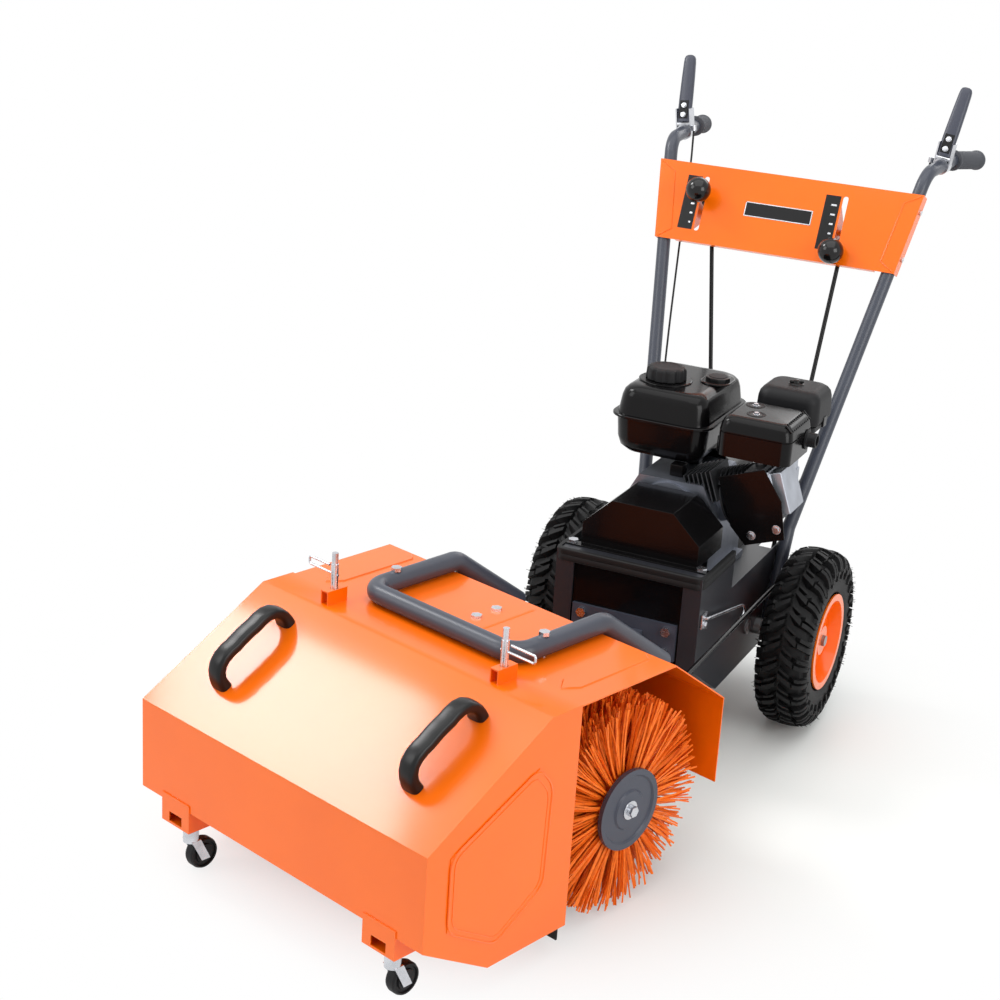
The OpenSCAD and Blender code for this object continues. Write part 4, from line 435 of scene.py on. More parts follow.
WASHER_SHARE, WASHER_LEAST, WASHER_SIDES, HEAD_EASE_SHARE = 0.12, 0.8, 28, 0.06
WASHER_WALL_SHARE, WASHER_SLOPE_SHARE = 0.7, 0.4


def hex_bolt(across, height, washer):
    """A hexagon head on its washer, on Z from 0. A washer is given by its radius."""
    thick = max(across * WASHER_SHARE, WASHER_LEAST)
    ring = turned([(washer, 0), (washer, thick * WASHER_WALL_SHARE),
                   (washer - thick * WASHER_SLOPE_SHARE, thick), (0, thick)], WASHER_SIDES)
    head = prism(polygon(across / math.sqrt(3), 6), thick, thick + height)
    return joined(ring, eased(head, across * HEAD_EASE_SHARE))


def piece(name, shape, slot, body, place=AXLE, stands_for=(), skin=None, angle=SMOOTH_ANGLE, even=True):
    """An object that rides on a body, in place of the CAD nodes that it stands for."""
    mesh = bpy.data.meshes.new(name)
    mesh.from_pydata([tuple(c) for c in shape[0]], [], shape[1])
    mesh.transform(place)
    mesh.validate()
    tidy = bmesh.new()
    tidy.from_mesh(mesh)
    bmesh.ops.recalc_face_normals(tidy, faces=tidy.faces)
    tidy.to_mesh(mesh)
    tidy.free()
    mesh.shade_smooth()
    mesh.set_sharp_from_angle(angle=math.radians(angle))
    mesh.materials.append(skin or SKINS[slot])
    made = bpy.data.objects.new(name, mesh)
    bpy.context.scene.collection.objects.link(made)
    if even:
        made.modifiers.new("even_normals", "WEIGHTED_NORMAL").keep_sharp = True
    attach(made, body)
    if stands_for:
        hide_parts(*stands_for)
    return made


def softened(node, width, steps=2):
    """A copy of a CAD node with its edges rounded, shown in its place."""
    body = bmesh.new()
    body.from_mesh(frame["nodes"][node].data)
    bmesh.ops.remove_doubles(body, verts=body.verts, dist=CAD_MERGE)
    bmesh.ops.dissolve_limit(body, angle_limit=math.radians(CAD_FLAT_ANGLE), verts=body.verts,
                             edges=body.edges)
    shape = rounded_off(body, width * MM, steps, CAD_EASE_ANGLE)
    owner = next(b for b, members in frame["record"]["behaviour"]["bodies"].items() if node in members)
    piece(node + "_eased", shape, NODE_SLOT[node], owner, Matrix.Identity(4), (node,), OWN_SKINS.get(node))


# Brush

BRISTLES_FROM, BRISTLES_TO, CORE_R, BRUSH_R, CORE_SIDES = 27.0, 284.0, 48.0, 171.5, 48
TUFTS, TUFT_STRANDS, STRAND_RINGS, STRAND_SIDES = 860, 6, 4, 3
# Turns, swings and leans are in radians, and powers are plain numbers
GOLDEN_TURN, SPIN_RANGE = 2.399963, 6.283
TUFT_SWING, STRAND_SWING, STRAND_SHIFT = 0.05, 0.035, 1.6
TIP_SPREAD, TIP_WEAR, ROOT_DEPTH = 6.0, 5, 3
LEAN, LEAN_SPREAD, LEAN_POWER = -0.03, 0.045, 2
TILT_SPREAD, TILT_ROOM, TILT_POWER = 7.0, 1, 1.5
STRAND_R = (1.3, 1.9)


def bristle_half(side, seed):
    """Strands in tufts around one half of the core, uneven at their tips."""
    draw = np.random.default_rng(seed)
    span = BRISTLES_TO - BRISTLES_FROM
    tuft = np.arange(TUFTS)
    count = TUFTS * TUFT_STRANDS
    turn = np.repeat(tuft * GOLDEN_TURN + draw.normal(0, TUFT_SWING, TUFTS), TUFT_STRANDS)
    along = np.repeat(BRISTLES_FROM + span * (tuft + 0.5) / TUFTS, TUFT_STRANDS)
    along = np.clip(along + draw.normal(0, STRAND_SHIFT, count), BRISTLES_FROM, BRISTLES_TO)
    turn = turn + draw.normal(0, STRAND_SWING, count)
    reach = BRUSH_R - np.abs(draw.normal(0, TIP_SPREAD, count)) - draw.random(count) * TIP_WEAR
    lean = draw.normal(0, LEAN_SPREAD, count) + LEAN
    tilted = along + draw.normal(0, TILT_SPREAD, count)
    tilt = np.clip(tilted, BRISTLES_FROM, BRISTLES_TO + TILT_ROOM) - along
    thick = draw.uniform(*STRAND_R, count)
    spin = draw.random(count) * SPIN_RANGE
    share = np.linspace(0, 1, STRAND_RINGS)
    radius = (CORE_R - ROOT_DEPTH) + (reach[:, None] - CORE_R + ROOT_DEPTH) * share
    angle = turn[:, None] + lean[:, None] * share ** LEAN_POWER
    x = along[:, None] + tilt[:, None] * share ** TILT_POWER
    centre = np.stack([x, radius * np.cos(angle), radius * np.sin(angle)], -1)
    a = spin[:, None] + np.arange(STRAND_SIDES) * 2 * math.pi / STRAND_SIDES
    round_x = np.cos(a) * thick[:, None]
    round_t = np.sin(a) * thick[:, None]
    around = np.stack([np.zeros_like(turn), -np.sin(turn), np.cos(turn)], -1)
    ring = round_x[..., None] * np.array([1.0, 0, 0]) + round_t[..., None] * around[:, None, :]
    points = centre[:, :, None, :] + ring[:, None, :, :]
    points = points.reshape(-1, 3) * np.array([side, 1, 1])
    faces = []
    step = STRAND_RINGS * STRAND_SIDES
    for root in range(0, count * step, step):
        top = root + step - STRAND_SIDES
        for low in range(root, top, STRAND_SIDES):
            high = low + STRAND_SIDES
            for k in range(STRAND_SIDES):
                m = (k + 1) % STRAND_SIDES
                faces.append((low + k, low + m, high + m, high + k))
        faces.append((top, top + 1, top + 2))
    core = turned([(CORE_R, BRISTLES_FROM), (CORE_R, BRISTLES_TO)], CORE_SIDES)
    core = [(side * h, y, z) for y, z, h in core[0]], core[1]
    return joined((points, faces), core)


for half_name, half_side, half_seed in (("left", -1, 5), ("right", 1, 9)):
    piece(half_name + "_brush_strands", bristle_half(half_side, half_seed), "bristle", "brush",
          HEAD @ Matrix.Translation((0, BRUSH_Y, BRUSH_Z)), (half_name + "_bristles",), angle=80, even=False)


# Engine covers

LEAST_FLAT, EDGE_SHARE = 0.5, 0.3


def ring_of(half_x, half_y, corner, steps):
    """A rectangle with round corners, counter-clockwise from the right."""
    corner = min(corner, half_x - LEAST_FLAT, half_y - LEAST_FLAT)
    points = []
    for quarter, (sx, sy) in enumerate(((1, 1), (-1, 1), (-1, -1), (1, -1))):
        for k in range(steps + 1):
            a = math.pi / 2 * (quarter + k / steps)
            points.append((sx * (half_x - corner) + corner * math.cos(a),
                           sy * (half_y - corner) + corner * math.sin(a)))
    return points


def lofted(rings):
    """A closed skin over rings of equal count, capped at both ends."""
    count = len(rings[0])
    corners = [p for ring in rings for p in ring]
    faces = [tuple(reversed(range(count))), tuple(range((len(rings) - 1) * count, len(rings) * count))]
    for i in range(len(rings) - 1):
        for k in range(count):
            m = (k + 1) % count
            faces.append((i * count + k, i * count + m, (i + 1) * count + m, (i + 1) * count + k))
    return corners, faces


def moulded(low, high, levels, steps=6):
    """A round-cornered box from (height, inset, corner radius) levels."""
    cx, cy = (low[0] + high[0]) / 2, (low[1] + high[1]) / 2
    hx, hy = (high[0] - low[0]) / 2, (high[1] - low[1]) / 2
    return lofted([[(cx + x, cy + y, z) for x, y in ring_of(hx - inset, hy - inset, corner, steps)]
                   for z, inset, corner in levels])


def round_slab(low, high, corner, edge):
    """A round-cornered box whose top and bottom edges are rounded too."""
    z0, z1 = low[2], high[2]
    part = edge * EDGE_SHARE
    return moulded(low, high, ((z0, edge, corner), (z0 + part, part, corner), (z0 + edge, 0, corner),
                               (z1 - edge, 0, corner), (z1 - part, part, corner), (z1, edge, corner)))


TANK_LOW, TANK_HIGH, TANK_STEPS = (-138, -150), (50, 92), 8
TANK_LEVELS = (
    (487, 50, 20), (488, 38, 24), (493, 25, 28), (503, 15, 30), (518, 10.5, 32), (556, 8, 32),
    (557.6, 7, 33), (558, 1, 37), (559, 0, 38), (562, 0, 38), (563, 1, 37), (563.4, 8, 33),
    (567, 9, 32), (594, 13, 30), (604, 16.5, 28), (610, 22, 26), (613.5, 29, 24), (615, 39, 20))
DECK_LOW, DECK_HIGH, DECK_CORNER = (-114, -106, 613.2), (-18, -10, 617.5), 47
BUMP_LOW, BUMP_HIGH, BUMP_CORNER = (-14, -44, 613), (42, 30, 618), 24
DECK_EDGE = 3
LEG_HALF, LEG_DEEP, LEG_LOW, LEG_HIGH, LEG_EASE = 12, 24, 470.3, 492, 2
LEG_PLACES = (-146, -62)
tank_parts = [moulded(TANK_LOW, TANK_HIGH, TANK_LEVELS, TANK_STEPS),
              round_slab(DECK_LOW, DECK_HIGH, DECK_CORNER, DECK_EDGE),
              round_slab(BUMP_LOW, BUMP_HIGH, BUMP_CORNER, DECK_EDGE)]
for leg_y in LEG_PLACES:
    tank_parts.append(block((-LEG_HALF, leg_y, LEG_LOW), (LEG_HALF, leg_y + LEG_DEEP, LEG_HIGH), LEG_EASE))
piece("tank_shell", joined(*tank_parts), "black_paint", "chassis", stands_for=("fuel_tank",))

GAUGE_AT, GAUGE_R, GAUGE_SIDES, GAUGE_HIGH, GAUGE_EASE = (14, -8, 616), 23, 10, 8, 1.6
GAUGE_FACE, GAUGE_FACE_SIDES = ((17, 7.6), (17, 8.6), (15.6, 9), (0, 9)), 40
gauge_rim = eased(prism(polygon(GAUGE_R, GAUGE_SIDES), 0, GAUGE_HIGH), GAUGE_EASE)
gauge_face = turned(GAUGE_FACE, GAUGE_FACE_SIDES)
gauge_place = AXLE @ Matrix.Translation(GAUGE_AT)
piece("fuel_gauge_rim", gauge_rim, "black_plastic", "chassis", gauge_place)
piece("fuel_gauge_face", gauge_face, "matte_black", "chassis", gauge_place)

CAP_X, CAP_Y, CAP_POINTS, CAP_RIBS = -66, -58, 120, 10
RIB_DEPTH_SHARE, RIB_POWER = 0.085, 1.5
# Height, radius and share of the ribs' depth at each level of the cap
CAP_LEVELS = ((616.5, 31, 0), (617, 34, 1), (619, 36.5, 1), (635, 35.5, 1), (638.5, 33.5, 0.8),
              (640, 30, 0.4), (640.6, 24, 0), (639.8, 22, 0), (639.8, 8, 0))


def cap_ring(z, radius, deep):
    """One level of the cap, cut in by its ribs."""
    ring = []
    for k in range(CAP_POINTS):
        a = 2 * math.pi * k / CAP_POINTS
        r = radius * (1 - RIB_DEPTH_SHARE * deep * max(0.0, math.cos(a * CAP_RIBS)) ** RIB_POWER)
        ring.append((CAP_X + r * math.cos(a), CAP_Y + r * math.sin(a), z))
    return ring


piece("ribbed_fuel_cap", lofted([cap_ring(*level) for level in CAP_LEVELS]), "matte_black", "fuel_cap",
      stands_for=("fuel_cap",), angle=30)

SHIELD_LOW, SHIELD_HIGH = (70, -155), (202, -25)
SHIELD_LEVELS = (
    (528, 3, 16), (528.2, 0.5, 18), (570, 0, 18), (570.6, 1.6, 17), (572.2, 1.6, 17), (572.8, 0, 18),
    (585, 2, 18), (592, 5, 17), (597, 10, 15), (600, 18, 12))
piece("shield_shell", moulded(SHIELD_LOW, SHIELD_HIGH, SHIELD_LEVELS), "black_paint", "chassis",
      stands_for=("muffler_shield",))

SLITS, SLIT_Y, SLIT_STEP, SLIT_EASE = 12, -142, 9.2, 0.8
SLIT_X, SLIT_Z, SHOULDER_LEAN = 193.2, 594.0, math.radians(-45)
SLIT_LOW, SLIT_HIGH = (-1.8, -1.2, -9), (1.8, 1.2, 9)
GILLS, GILL_Y, GILL_STEP, GILL_WIDE, GILL_EASE = 13, -146, 9, 4, 0.5
GILL_BACK, GILL_FRONT, GILL_LOW, GILL_HIGH = 69.6, 70.8, 534, 560
louvres = []
for i in range(SLITS):
    slit_place = (Matrix.Translation((SLIT_X, SLIT_Y + SLIT_STEP * i, SLIT_Z))
                  @ Matrix.Rotation(SHOULDER_LEAN, 4, "Y") @ Matrix.Rotation(math.pi / 2, 4, "Z"))
    louvres.append(moved(block(SLIT_LOW, SLIT_HIGH, SLIT_EASE), slit_place))
for i in range(GILLS):
    gill_y = GILL_Y + GILL_STEP * i
    louvres.append(block((GILL_BACK, gill_y, GILL_LOW), (GILL_FRONT, gill_y + GILL_WIDE, GILL_HIGH),
                         GILL_EASE))
piece("shield_louvres", joined(*louvres), "matte_black", "chassis")

DIMPLE_PLACES, DIMPLE_Z, SHIELD_TOP = ((106, -62), (124, -112)), 599.7, 600
DIMPLE = ((17, 0), (17, 0.6), (15.4, 1.2), (13, 0.4), (6, 0.2))
SHIELD_SCREW = (8, 3.0, 6.0)
dimples = [moved(turned(DIMPLE, ROUND_SIDES), Matrix.Translation((x, y, DIMPLE_Z))) for x, y in DIMPLE_PLACES]
screws = [moved(hex_bolt(*SHIELD_SCREW), Matrix.Translation((x, y, SHIELD_TOP))) for x, y in DIMPLE_PLACES]
piece("shield_dimples", joined(*dimples), "matte_black", "chassis")
piece("shield_screws", joined(*screws), "zinc", "chassis")
OUTLET_AT = (201.5, -58, 556)
OUTLET = ((17, 0), (18, 1), (18, 3), (14, 4), (13, 6), (13, 19), (12, 20), (9.5, 20), (9.5, 8), (0, 8))
outlet = moved(turned(OUTLET, ROUND_SIDES), upright_on(OUTLET_AT, (1, 0, 0)))
piece("exhaust_outlet", outlet, "matte_black", "chassis")

COVER_LOW, COVER_HIGH, CLEANER_STEPS = (84, -8), (202, 102), 7
COVER_LEVELS = (
    (560, 6, 16), (560.5, 3, 18), (562, 1.2, 20), (568, 0, 22), (600, 1.5, 22), (609, 3.5, 22),
    (615, 8, 20), (618.6, 14, 17), (620, 23, 12))
BASE_LOW, BASE_HIGH = (88, -4), (198, 98)
BASE_LEVELS = ((545, 8, 14), (545.5, 4, 17), (547, 2, 18), (557, 1, 18), (558, 4, 16), (561, 4, 16))
WING_AT, WING_TURN, WING_EASE, WING_SIDES = (143, 47, 0), 0.5, 2, 32
WING_HUB = ((14, 617), (14, 620.6), (12, 622), (7, 622.6), (6, 627), (4.5, 628), (0, 628.2))
WING_LOW, WING_HIGH = (-13, -2.6, 621.6), (13, 2.6, 627)
CLIP_CORNERS, CLIP_EASE = (((141, -9.6, 552), (159, -6.4, 570)), ((199, 38, 552), (203.5, 56, 570))), 1
cleaner = joined(moulded(COVER_LOW, COVER_HIGH, COVER_LEVELS, CLEANER_STEPS),
                 moulded(BASE_LOW, BASE_HIGH, BASE_LEVELS, CLEANER_STEPS))
wing = joined(turned(WING_HUB, WING_SIDES), block(WING_LOW, WING_HIGH, WING_EASE))
wing = moved(wing, Matrix.Translation(WING_AT) @ Matrix.Rotation(WING_TURN, 4, "Z"))
clips = [block(low, high, CLIP_EASE) for low, high in CLIP_CORNERS]
piece("cleaner_cover", cleaner, "matte_black", "chassis", stands_for=("air_cleaner",))
piece("cleaner_wing_nut", joined(wing, *clips), "black_plastic", "chassis")


# Brush head

def rounded_section(half_w, half_t, count=20, power=0.62):
    """A flat oval, fuller at its corners the lower the power."""
    points = []
    for k in range(count):
        a = 2 * math.pi * k / count
        c, s = math.cos(a), math.sin(a)
        points.append((half_w * math.copysign(abs(c) ** power, c),
                       half_t * math.copysign(abs(s) ** power, s)))
    return points


# One half of the bow's middle line, from its foot to its top
BOW_HALF = ((-70, 0), (-70.5, 8), (-69.5, 17), (-65.5, 27), (-58, 35.5), (-47, 40.5), (-34, 42),
            (-22, 41.2), (-10, 42.2), (0, 42.6))
BOW_WIDE, BOW_THICK, FOOT_WIDER, FOOT_THICKER, FOOT_HIGH = 14.6, 9.0, 2.0, 1.6, 20
BOW_RIB_R, BOW_RIB_IN, BOW_RIB_SHARE, BOW_RIB_ENDS = 2.2, 7.6, 0.985, 3


def bow_handle():
    """A moulded bow in the Y and Z plane, its feet on Z = 0."""
    path = list(BOW_HALF) + [(-y, z) for y, z in reversed(BOW_HALF[:-1])]
    rings = []
    for i, (y, z) in enumerate(path):
        before, after = path[max(i - 1, 0)], path[min(i + 1, len(path) - 1)]
        way = Vector((0, after[0] - before[0], after[1] - before[1])).normalized()
        if i in (0, len(path) - 1):
            way = Vector((0, 0, 1 if i == 0 else -1))
        out = Vector((1, 0, 0)).cross(way)
        near_foot = max(0.0, 1 - z / FOOT_HIGH)
        ring = rounded_section(BOW_WIDE + FOOT_WIDER * near_foot, BOW_THICK + FOOT_THICKER * near_foot)
        rings.append([tuple(Vector((x, y, z)) + out * n) for x, n in ring])
    inside = path[BOW_RIB_ENDS:-BOW_RIB_ENDS]
    rib = swept([(0, y * BOW_RIB_SHARE, z - BOW_RIB_IN) for y, z in inside], BOW_RIB_R, WIRE_SIDES)
    return joined(lofted(rings), rib)


BIN_FRONT, BIN_DEEP, BIN_LOW, BIN_HIGH = -678, 293, 44.5, 355.5
SLOPE_FOOT, SLOPE_LEAN, SLOPE_MID, HANDLE_X = 268.7, math.radians(29.55), 149.3, 205
handle_bow = bow_handle()
for handle_name, handle_side in (("left", -1), ("right", 1)):
    handle_place = Matrix.Translation((handle_side * HANDLE_X, BIN_FRONT + SLOPE_MID * math.cos(SLOPE_LEAN),
                                       SLOPE_FOOT + SLOPE_MID * math.sin(SLOPE_LEAN)))
    piece(handle_name + "_bin_handle", handle_bow, "black_plastic", "head",
          HEAD @ handle_place @ Matrix.Rotation(SLOPE_LEAN, 4, "X"), ("bin_handles",))

softened("bin_shell", width=0.9)


def rounded_loop(points, radius, steps=5):
    """A closed line with each corner rounded off."""
    loop = []
    for i, point in enumerate(points):
        corner = Vector(point)
        back = (Vector(points[i - 1]) - corner).normalized() * radius
        ahead = (Vector(points[(i + 1) % len(points)]) - corner).normalized() * radius
        for k in range(steps + 1):
            t = k / steps
            loop.append(corner + back * (1 - t) ** 2 + ahead * t ** 2)
    return loop


# Corners of the pressed bead, as shares of the bin side's depth and height
BEAD_SHARES = ((0.15, 0.58), (0.15, 0.26), (0.48, 0.10), (0.80, 0.26), (0.82, 0.70), (0.72, 0.80))
BEAD_X, BEAD_R, BEAD_BEND = 309.1, 1.5, 18
INNER_BEAD_R, INNER_BEND, INNER_SHARE, INNER_Y, INNER_Z = 0.9, 16, 0.92, -535, 200
bead_corners = [(BIN_FRONT + BIN_DEEP * y, BIN_LOW + BIN_HIGH * z) for y, z in BEAD_SHARES]
side_loop = [(BEAD_X, y, z) for y, z in rounded_loop(bead_corners, BEAD_BEND)]
side_bead = swept(side_loop, BEAD_R, WIRE_SIDES, closed=True)
inner_loop = [(BEAD_X, INNER_Y + (y - INNER_Y) * INNER_SHARE, INNER_Z + (z - INNER_Z) * INNER_SHARE)
              for y, z in rounded_loop(bead_corners, INNER_BEND)]
inner_bead = swept(inner_loop, INNER_BEAD_R, WIRE_SIDES, closed=True)
piece("bin_side_beads", joined(side_bead, inner_bead, mirrored(side_bead), mirrored(inner_bead)),
      "orange_paint", "head", HEAD)
softened("brush_hood", width=0.6)

END_BOLT, END_BOLT_X = (16, 8, 15), 293.2
end_bolts = [moved(hex_bolt(*END_BOLT), upright_on((side * END_BOLT_X, BRUSH_Y, BRUSH_Z), (side, 0, 0)))
             for side in (-1, 1)]
piece("brush_end_bolts", joined(*end_bolts), "zinc", "brush", HEAD)


# Handlebars and controls

GRIP_START, GRIP_END = Vector((262, 515, 973)), Vector((285, 628, 961))
GRIP_RINGS, FIRST_RING, RING_STEP = 22, 9, 4.4
GRIP_COLLAR = ((12.7, 0), (18.5, 0), (20, 1.5), (20, 4), (17.5, 6.5))
GRIP_RING = ((16.3, 0), (17.3, 0.8), (17.3, 2.6), (16.3, 3.4))
GRIP_BEAD = ((17.2, 107), (19, 109.5))
# The grip's end, with heights from its full length
GRIP_TIP = ((19, -2), (17, 0), (9, 0.6), (0, 0.6))
grip_length = (GRIP_END - GRIP_START).length
grip_profile = list(GRIP_COLLAR)
for ring_index in range(GRIP_RINGS):
    ring_start = FIRST_RING + ring_index * RING_STEP
    grip_profile += [(r, ring_start + h) for r, h in GRIP_RING]
grip_profile += list(GRIP_BEAD) + [(r, grip_length + h) for r, h in GRIP_TIP]
grip = moved(turned(grip_profile, ROUND_SIDES), upright_on(GRIP_START, GRIP_END - GRIP_START))
piece("ribbed_grips", joined(grip, mirrored(grip)), "grip_rubber", "chassis", stands_for=("hand_grips",),
      angle=50)

BRACKET_AT = (257.8, 452.42, 970.9)
LEVER_TILT, LEVER_RISE, LEVER_LEAN = math.radians(7.5), 37.0, math.radians(-22)
# Height along the lever, half width and half depth of its sleeve
SLEEVE = ((-20, 12.2, 6.2), (-18, 13.4, 6.9), (0, 14.0, 7.4), (30, 13.8, 8.4), (70, 13.0, 9.0),
          (100, 12.0, 8.8), (108, 11.2, 8.2), (112.5, 9.2, 6.8), (114.6, 5.5, 4.2), (115, 1.5, 1.2))
SLEEVE_POINTS, SLEEVE_POWER = 24, 0.75
PLATE_LOW, PLATE_HIGH, PLATE_CORNER, PLATE_EDGE = (-9, -8.2, -14), (9, -5.6, 22), 1.2, 0.6
LEVER_SCREW, SCREW_FACE, SCREW_HEIGHTS = (8, 2.6, 5.2), -8, (-7, 12)
lever_place = (Matrix.Translation(BRACKET_AT) @ Matrix.Rotation(LEVER_TILT, 4, "Y")
               @ Matrix.Translation((0, 0, LEVER_RISE)) @ Matrix.Rotation(LEVER_LEAN, 4, "X"))
sleeve = lofted([[(x, y, z) for x, y in rounded_section(half_w, half_t, SLEEVE_POINTS, SLEEVE_POWER)]
                 for z, half_w, half_t in SLEEVE])
lever_sleeve = moved(sleeve, lever_place)
lever_plate = moved(round_slab(PLATE_LOW, PLATE_HIGH, PLATE_CORNER, PLATE_EDGE), lever_place)
screw_places = [lever_place @ upright_on((0, SCREW_FACE, z), (0, -1, 0)) for z in SCREW_HEIGHTS]
lever_screws = joined(*[moved(hex_bolt(*LEVER_SCREW), place) for place in screw_places])
for lever_name, shape_of in (("right", lambda shape: shape), ("left", mirrored)):
    lever_body = lever_name + "_hand_lever"
    piece(lever_name + "_lever_sleeve", shape_of(lever_sleeve), "black_plastic", lever_body,
          stands_for=(lever_body,), skin=OWN_SKINS["lever_sleeve"])
    piece(lever_name + "_lever_plate", shape_of(lever_plate), "matte_black", lever_body)
    piece(lever_name + "_lever_screws", shape_of(lever_screws), "zinc", lever_body)


# Tyres: lines of (radius, distance from the middle) pairs, side wall first

TYRE_R, WHEEL_X, TYRE_SIDES, CARCASS_MIDDLE = 165.0, 227.0, 96, 153.4
CARCASS = ((90, 36), (92.5, 41), (98, 43.4), (108, 44.4), (120, 44), (136, 42.4), (146, 37), (151, 27),
           (153, 13))
TREAD = ((120, 47), (136, 48.6), (148, 45.5), (158, 38), (163, 26), (165, 12), (165, 0))
SEAT_LINE = ((120, 41.5), (136, 41), (145, 36), (150, 26), (152, 13), (152.4, 6), (152.4, 0))
PITCHES = 26
PITCH = 2 * math.pi / PITCHES
# The blocks of one pitch: shares across the tread, turns, half widths at both ends, and drop
TREAD_BLOCKS = ((0.1, 0.62, -0.03, 0.045, 5.2, 4.6, 0.0),
                (0.16, 0.58, 0.055, 0.115, 4.2, 3.8, 1.5),
                (0.66, 0.97, 0.06, 0.16, 6.4, 5.0, 0.0),
                (0.70, 0.94, 0.165, 0.235, 3.2, 3.0, 1.0),
                (0.0, 0.2, PITCH * 0.62, PITCH * 0.6, 4.0, 5.0, 2.0))
BLOCK_STEPS, BLOCK_TOP_SHARE, LAST_SHARE = 4, 0.84, 0.99999
HAIRS, HAIR_SHARE, HAIR_ROOT, HAIR_LEAN, HAIR_SIDES = 320, 0.62, 1.5, 0.5, 4
HAIR_LENGTHS, HAIR_RADII, HAIR_BOW = (3.5, 7.5), (0.5, 0.42, 0.3), Vector((0, 0.3, 0.3))


def along_line(line, share):
    """The point at a share of a list of points, one step between each two."""
    spot = min(max(share, 0.0), LAST_SHARE) * (len(line) - 1)
    i = int(spot)
    f = spot - i
    return tuple(a + (b - a) * f for a, b in zip(line[i], line[i + 1]))


def tread_block(side, turn, share_from, share_to, start, end, wide_from, wide_to, low):
    """One block across the tread. Shares run from the side wall to the middle."""
    rings = []
    for k in range(BLOCK_STEPS + 1):
        f = k / BLOCK_STEPS
        share = share_from + (share_to - share_from) * f
        middle = turn + start + (end - start) * f
        wide = wide_from + (wide_to - wide_from) * f
        top_wide = wide * BLOCK_TOP_SHARE
        base, top = along_line(SEAT_LINE, share), along_line(TREAD, share)
        ring = []
        for (r, x), a in ((base, -wide), (base, wide), (top, top_wide), (top, -top_wide)):
            reach = r - low if r == top[0] else r
            ring.append((side * x, reach * math.sin(middle + a / r), reach * math.cos(middle + a / r)))
        rings.append(ring if side > 0 else ring[::-1])
    return lofted(rings)


def tyre_shape(seed):
    """A tyre about X with its blocks and the moulding hairs on its sides."""
    draw = random.Random(seed)
    profile = [(r, -x) for r, x in CARCASS] + [(CARCASS_MIDDLE, 0)] + list(reversed(CARCASS))
    body = turned(profile, TYRE_SIDES, ring_shape=True)
    parts = [([(h, x, y) for x, y, h in body[0]], body[1])]
    for i in range(PITCHES):
        for side in (-1, 1):
            turn = PITCH * (i + (0.5 if side > 0 else 0))
            parts += [tread_block(side, turn, *row) for row in TREAD_BLOCKS]
    for _ in range(HAIRS):
        side = draw.choice((-1, 1))
        r, x = along_line(TREAD, draw.uniform(0, HAIR_SHARE))
        a = draw.uniform(0, 2 * math.pi)
        r -= HAIR_ROOT
        root = Vector((side * (x - HAIR_ROOT), r * math.sin(a), r * math.cos(a)))
        way = Vector((side, draw.uniform(-HAIR_LEAN, HAIR_LEAN), draw.uniform(-HAIR_LEAN, HAIR_LEAN)))
        tip = root + way * draw.uniform(*HAIR_LENGTHS)
        if math.hypot(tip.y, tip.z) < TYRE_R:
            parts.append(swept([root, (root + tip) / 2 + HAIR_BOW, tip], HAIR_RADII, HAIR_SIDES))
    return joined(*parts)


for tyre_name, tyre_x, tyre_seed in (("left", -WHEEL_X, 3), ("right", WHEEL_X, 4)):
    piece(tyre_name + "_tyre_tread", tyre_shape(tyre_seed), "tyre", "wheels",
          AXLE @ Matrix.Translation((tyre_x, 0, TYRE_R)), ("tyres",), angle=30, even=False)


# Chassis and engine trims

softened("belt_cover", width=5.0, steps=3)
softened("crankcase", width=3.0)
softened("rocker_cover", width=3.5, steps=3)
softened("front_cover", width=1.0)
softened("chassis_frame", width=0.8)


def banded(path, section, base):
    """A band along a flat path, from (outward, height) pairs."""
    rings = []
    for i, (x, y) in enumerate(path):
        before, after = path[max(i - 1, 0)], path[min(i + 1, len(path) - 1)]
        way = Vector((after[0] - before[0], after[1] - before[1])).normalized()
        rings.append([(x + way.y * n, y - way.x * n, base + h) for n, h in section])
    return lofted(rings)


RIM_HALF, RIM_SIDE_Y, RIM_BEND_Y, RIM_BEND, RIM_Z = 133, (-182, -260, -326), -328, 12, 350
RIM_BEND_ANGLES = (0, 15, 30, 45, 60, 75, 90)
RIM_SECTION = ((-4, 0), (1.5, 0), (3.2, 1.5), (3.8, 5), (3.0, 9), (2.2, 11), (3.0, 13), (3.8, 17),
               (3.2, 21), (1.5, 22.5), (-4, 22.5))
rim_path = [(-RIM_HALF, y) for y in RIM_SIDE_Y]
for bend in RIM_BEND_ANGLES:
    rim_path.append((RIM_BEND - RIM_HALF - RIM_BEND * math.cos(math.radians(bend)),
                     RIM_BEND_Y - RIM_BEND * math.sin(math.radians(bend))))
rim_path += [(-x, y) for x, y in reversed(rim_path)]
piece("cover_rim", banded(rim_path, RIM_SECTION, RIM_Z), "black_rubber", "chassis")

CYLINDER_AT, CYLINDER_LEAN = (0, -100, 406), math.radians(70)
CYLINDER = Matrix.Translation(CYLINDER_AT) @ Matrix.Rotation(CYLINDER_LEAN, 4, "Y")
FIN_OUTLINE = ((-64, -64), (-8, -64), (-8, 26), (-64, 26))
FINS, FIN_START, FIN_STEP, FIN_THICK, FIN_EASE = 7, 44, 8.2, 2.6, 0.9
fin = eased(prism(FIN_OUTLINE, 0, FIN_THICK), FIN_EASE)
fins = [moved(fin, CYLINDER @ Matrix.Translation((0, 0, FIN_START + FIN_STEP * i))) for i in range(FINS)]
piece("barrel_fins", joined(*fins), "cast_alloy", "chassis", skin=OWN_SKINS["cylinder_head"])
SHROUD_OUTLINE = ((-50, 104), (40, 104), (78, 122), (78, 196), (10, 207), (-50, 190))
SHROUD_FACE, SHROUD_THICK, SHROUD_EASE = -51.6, 2.4, 0.8
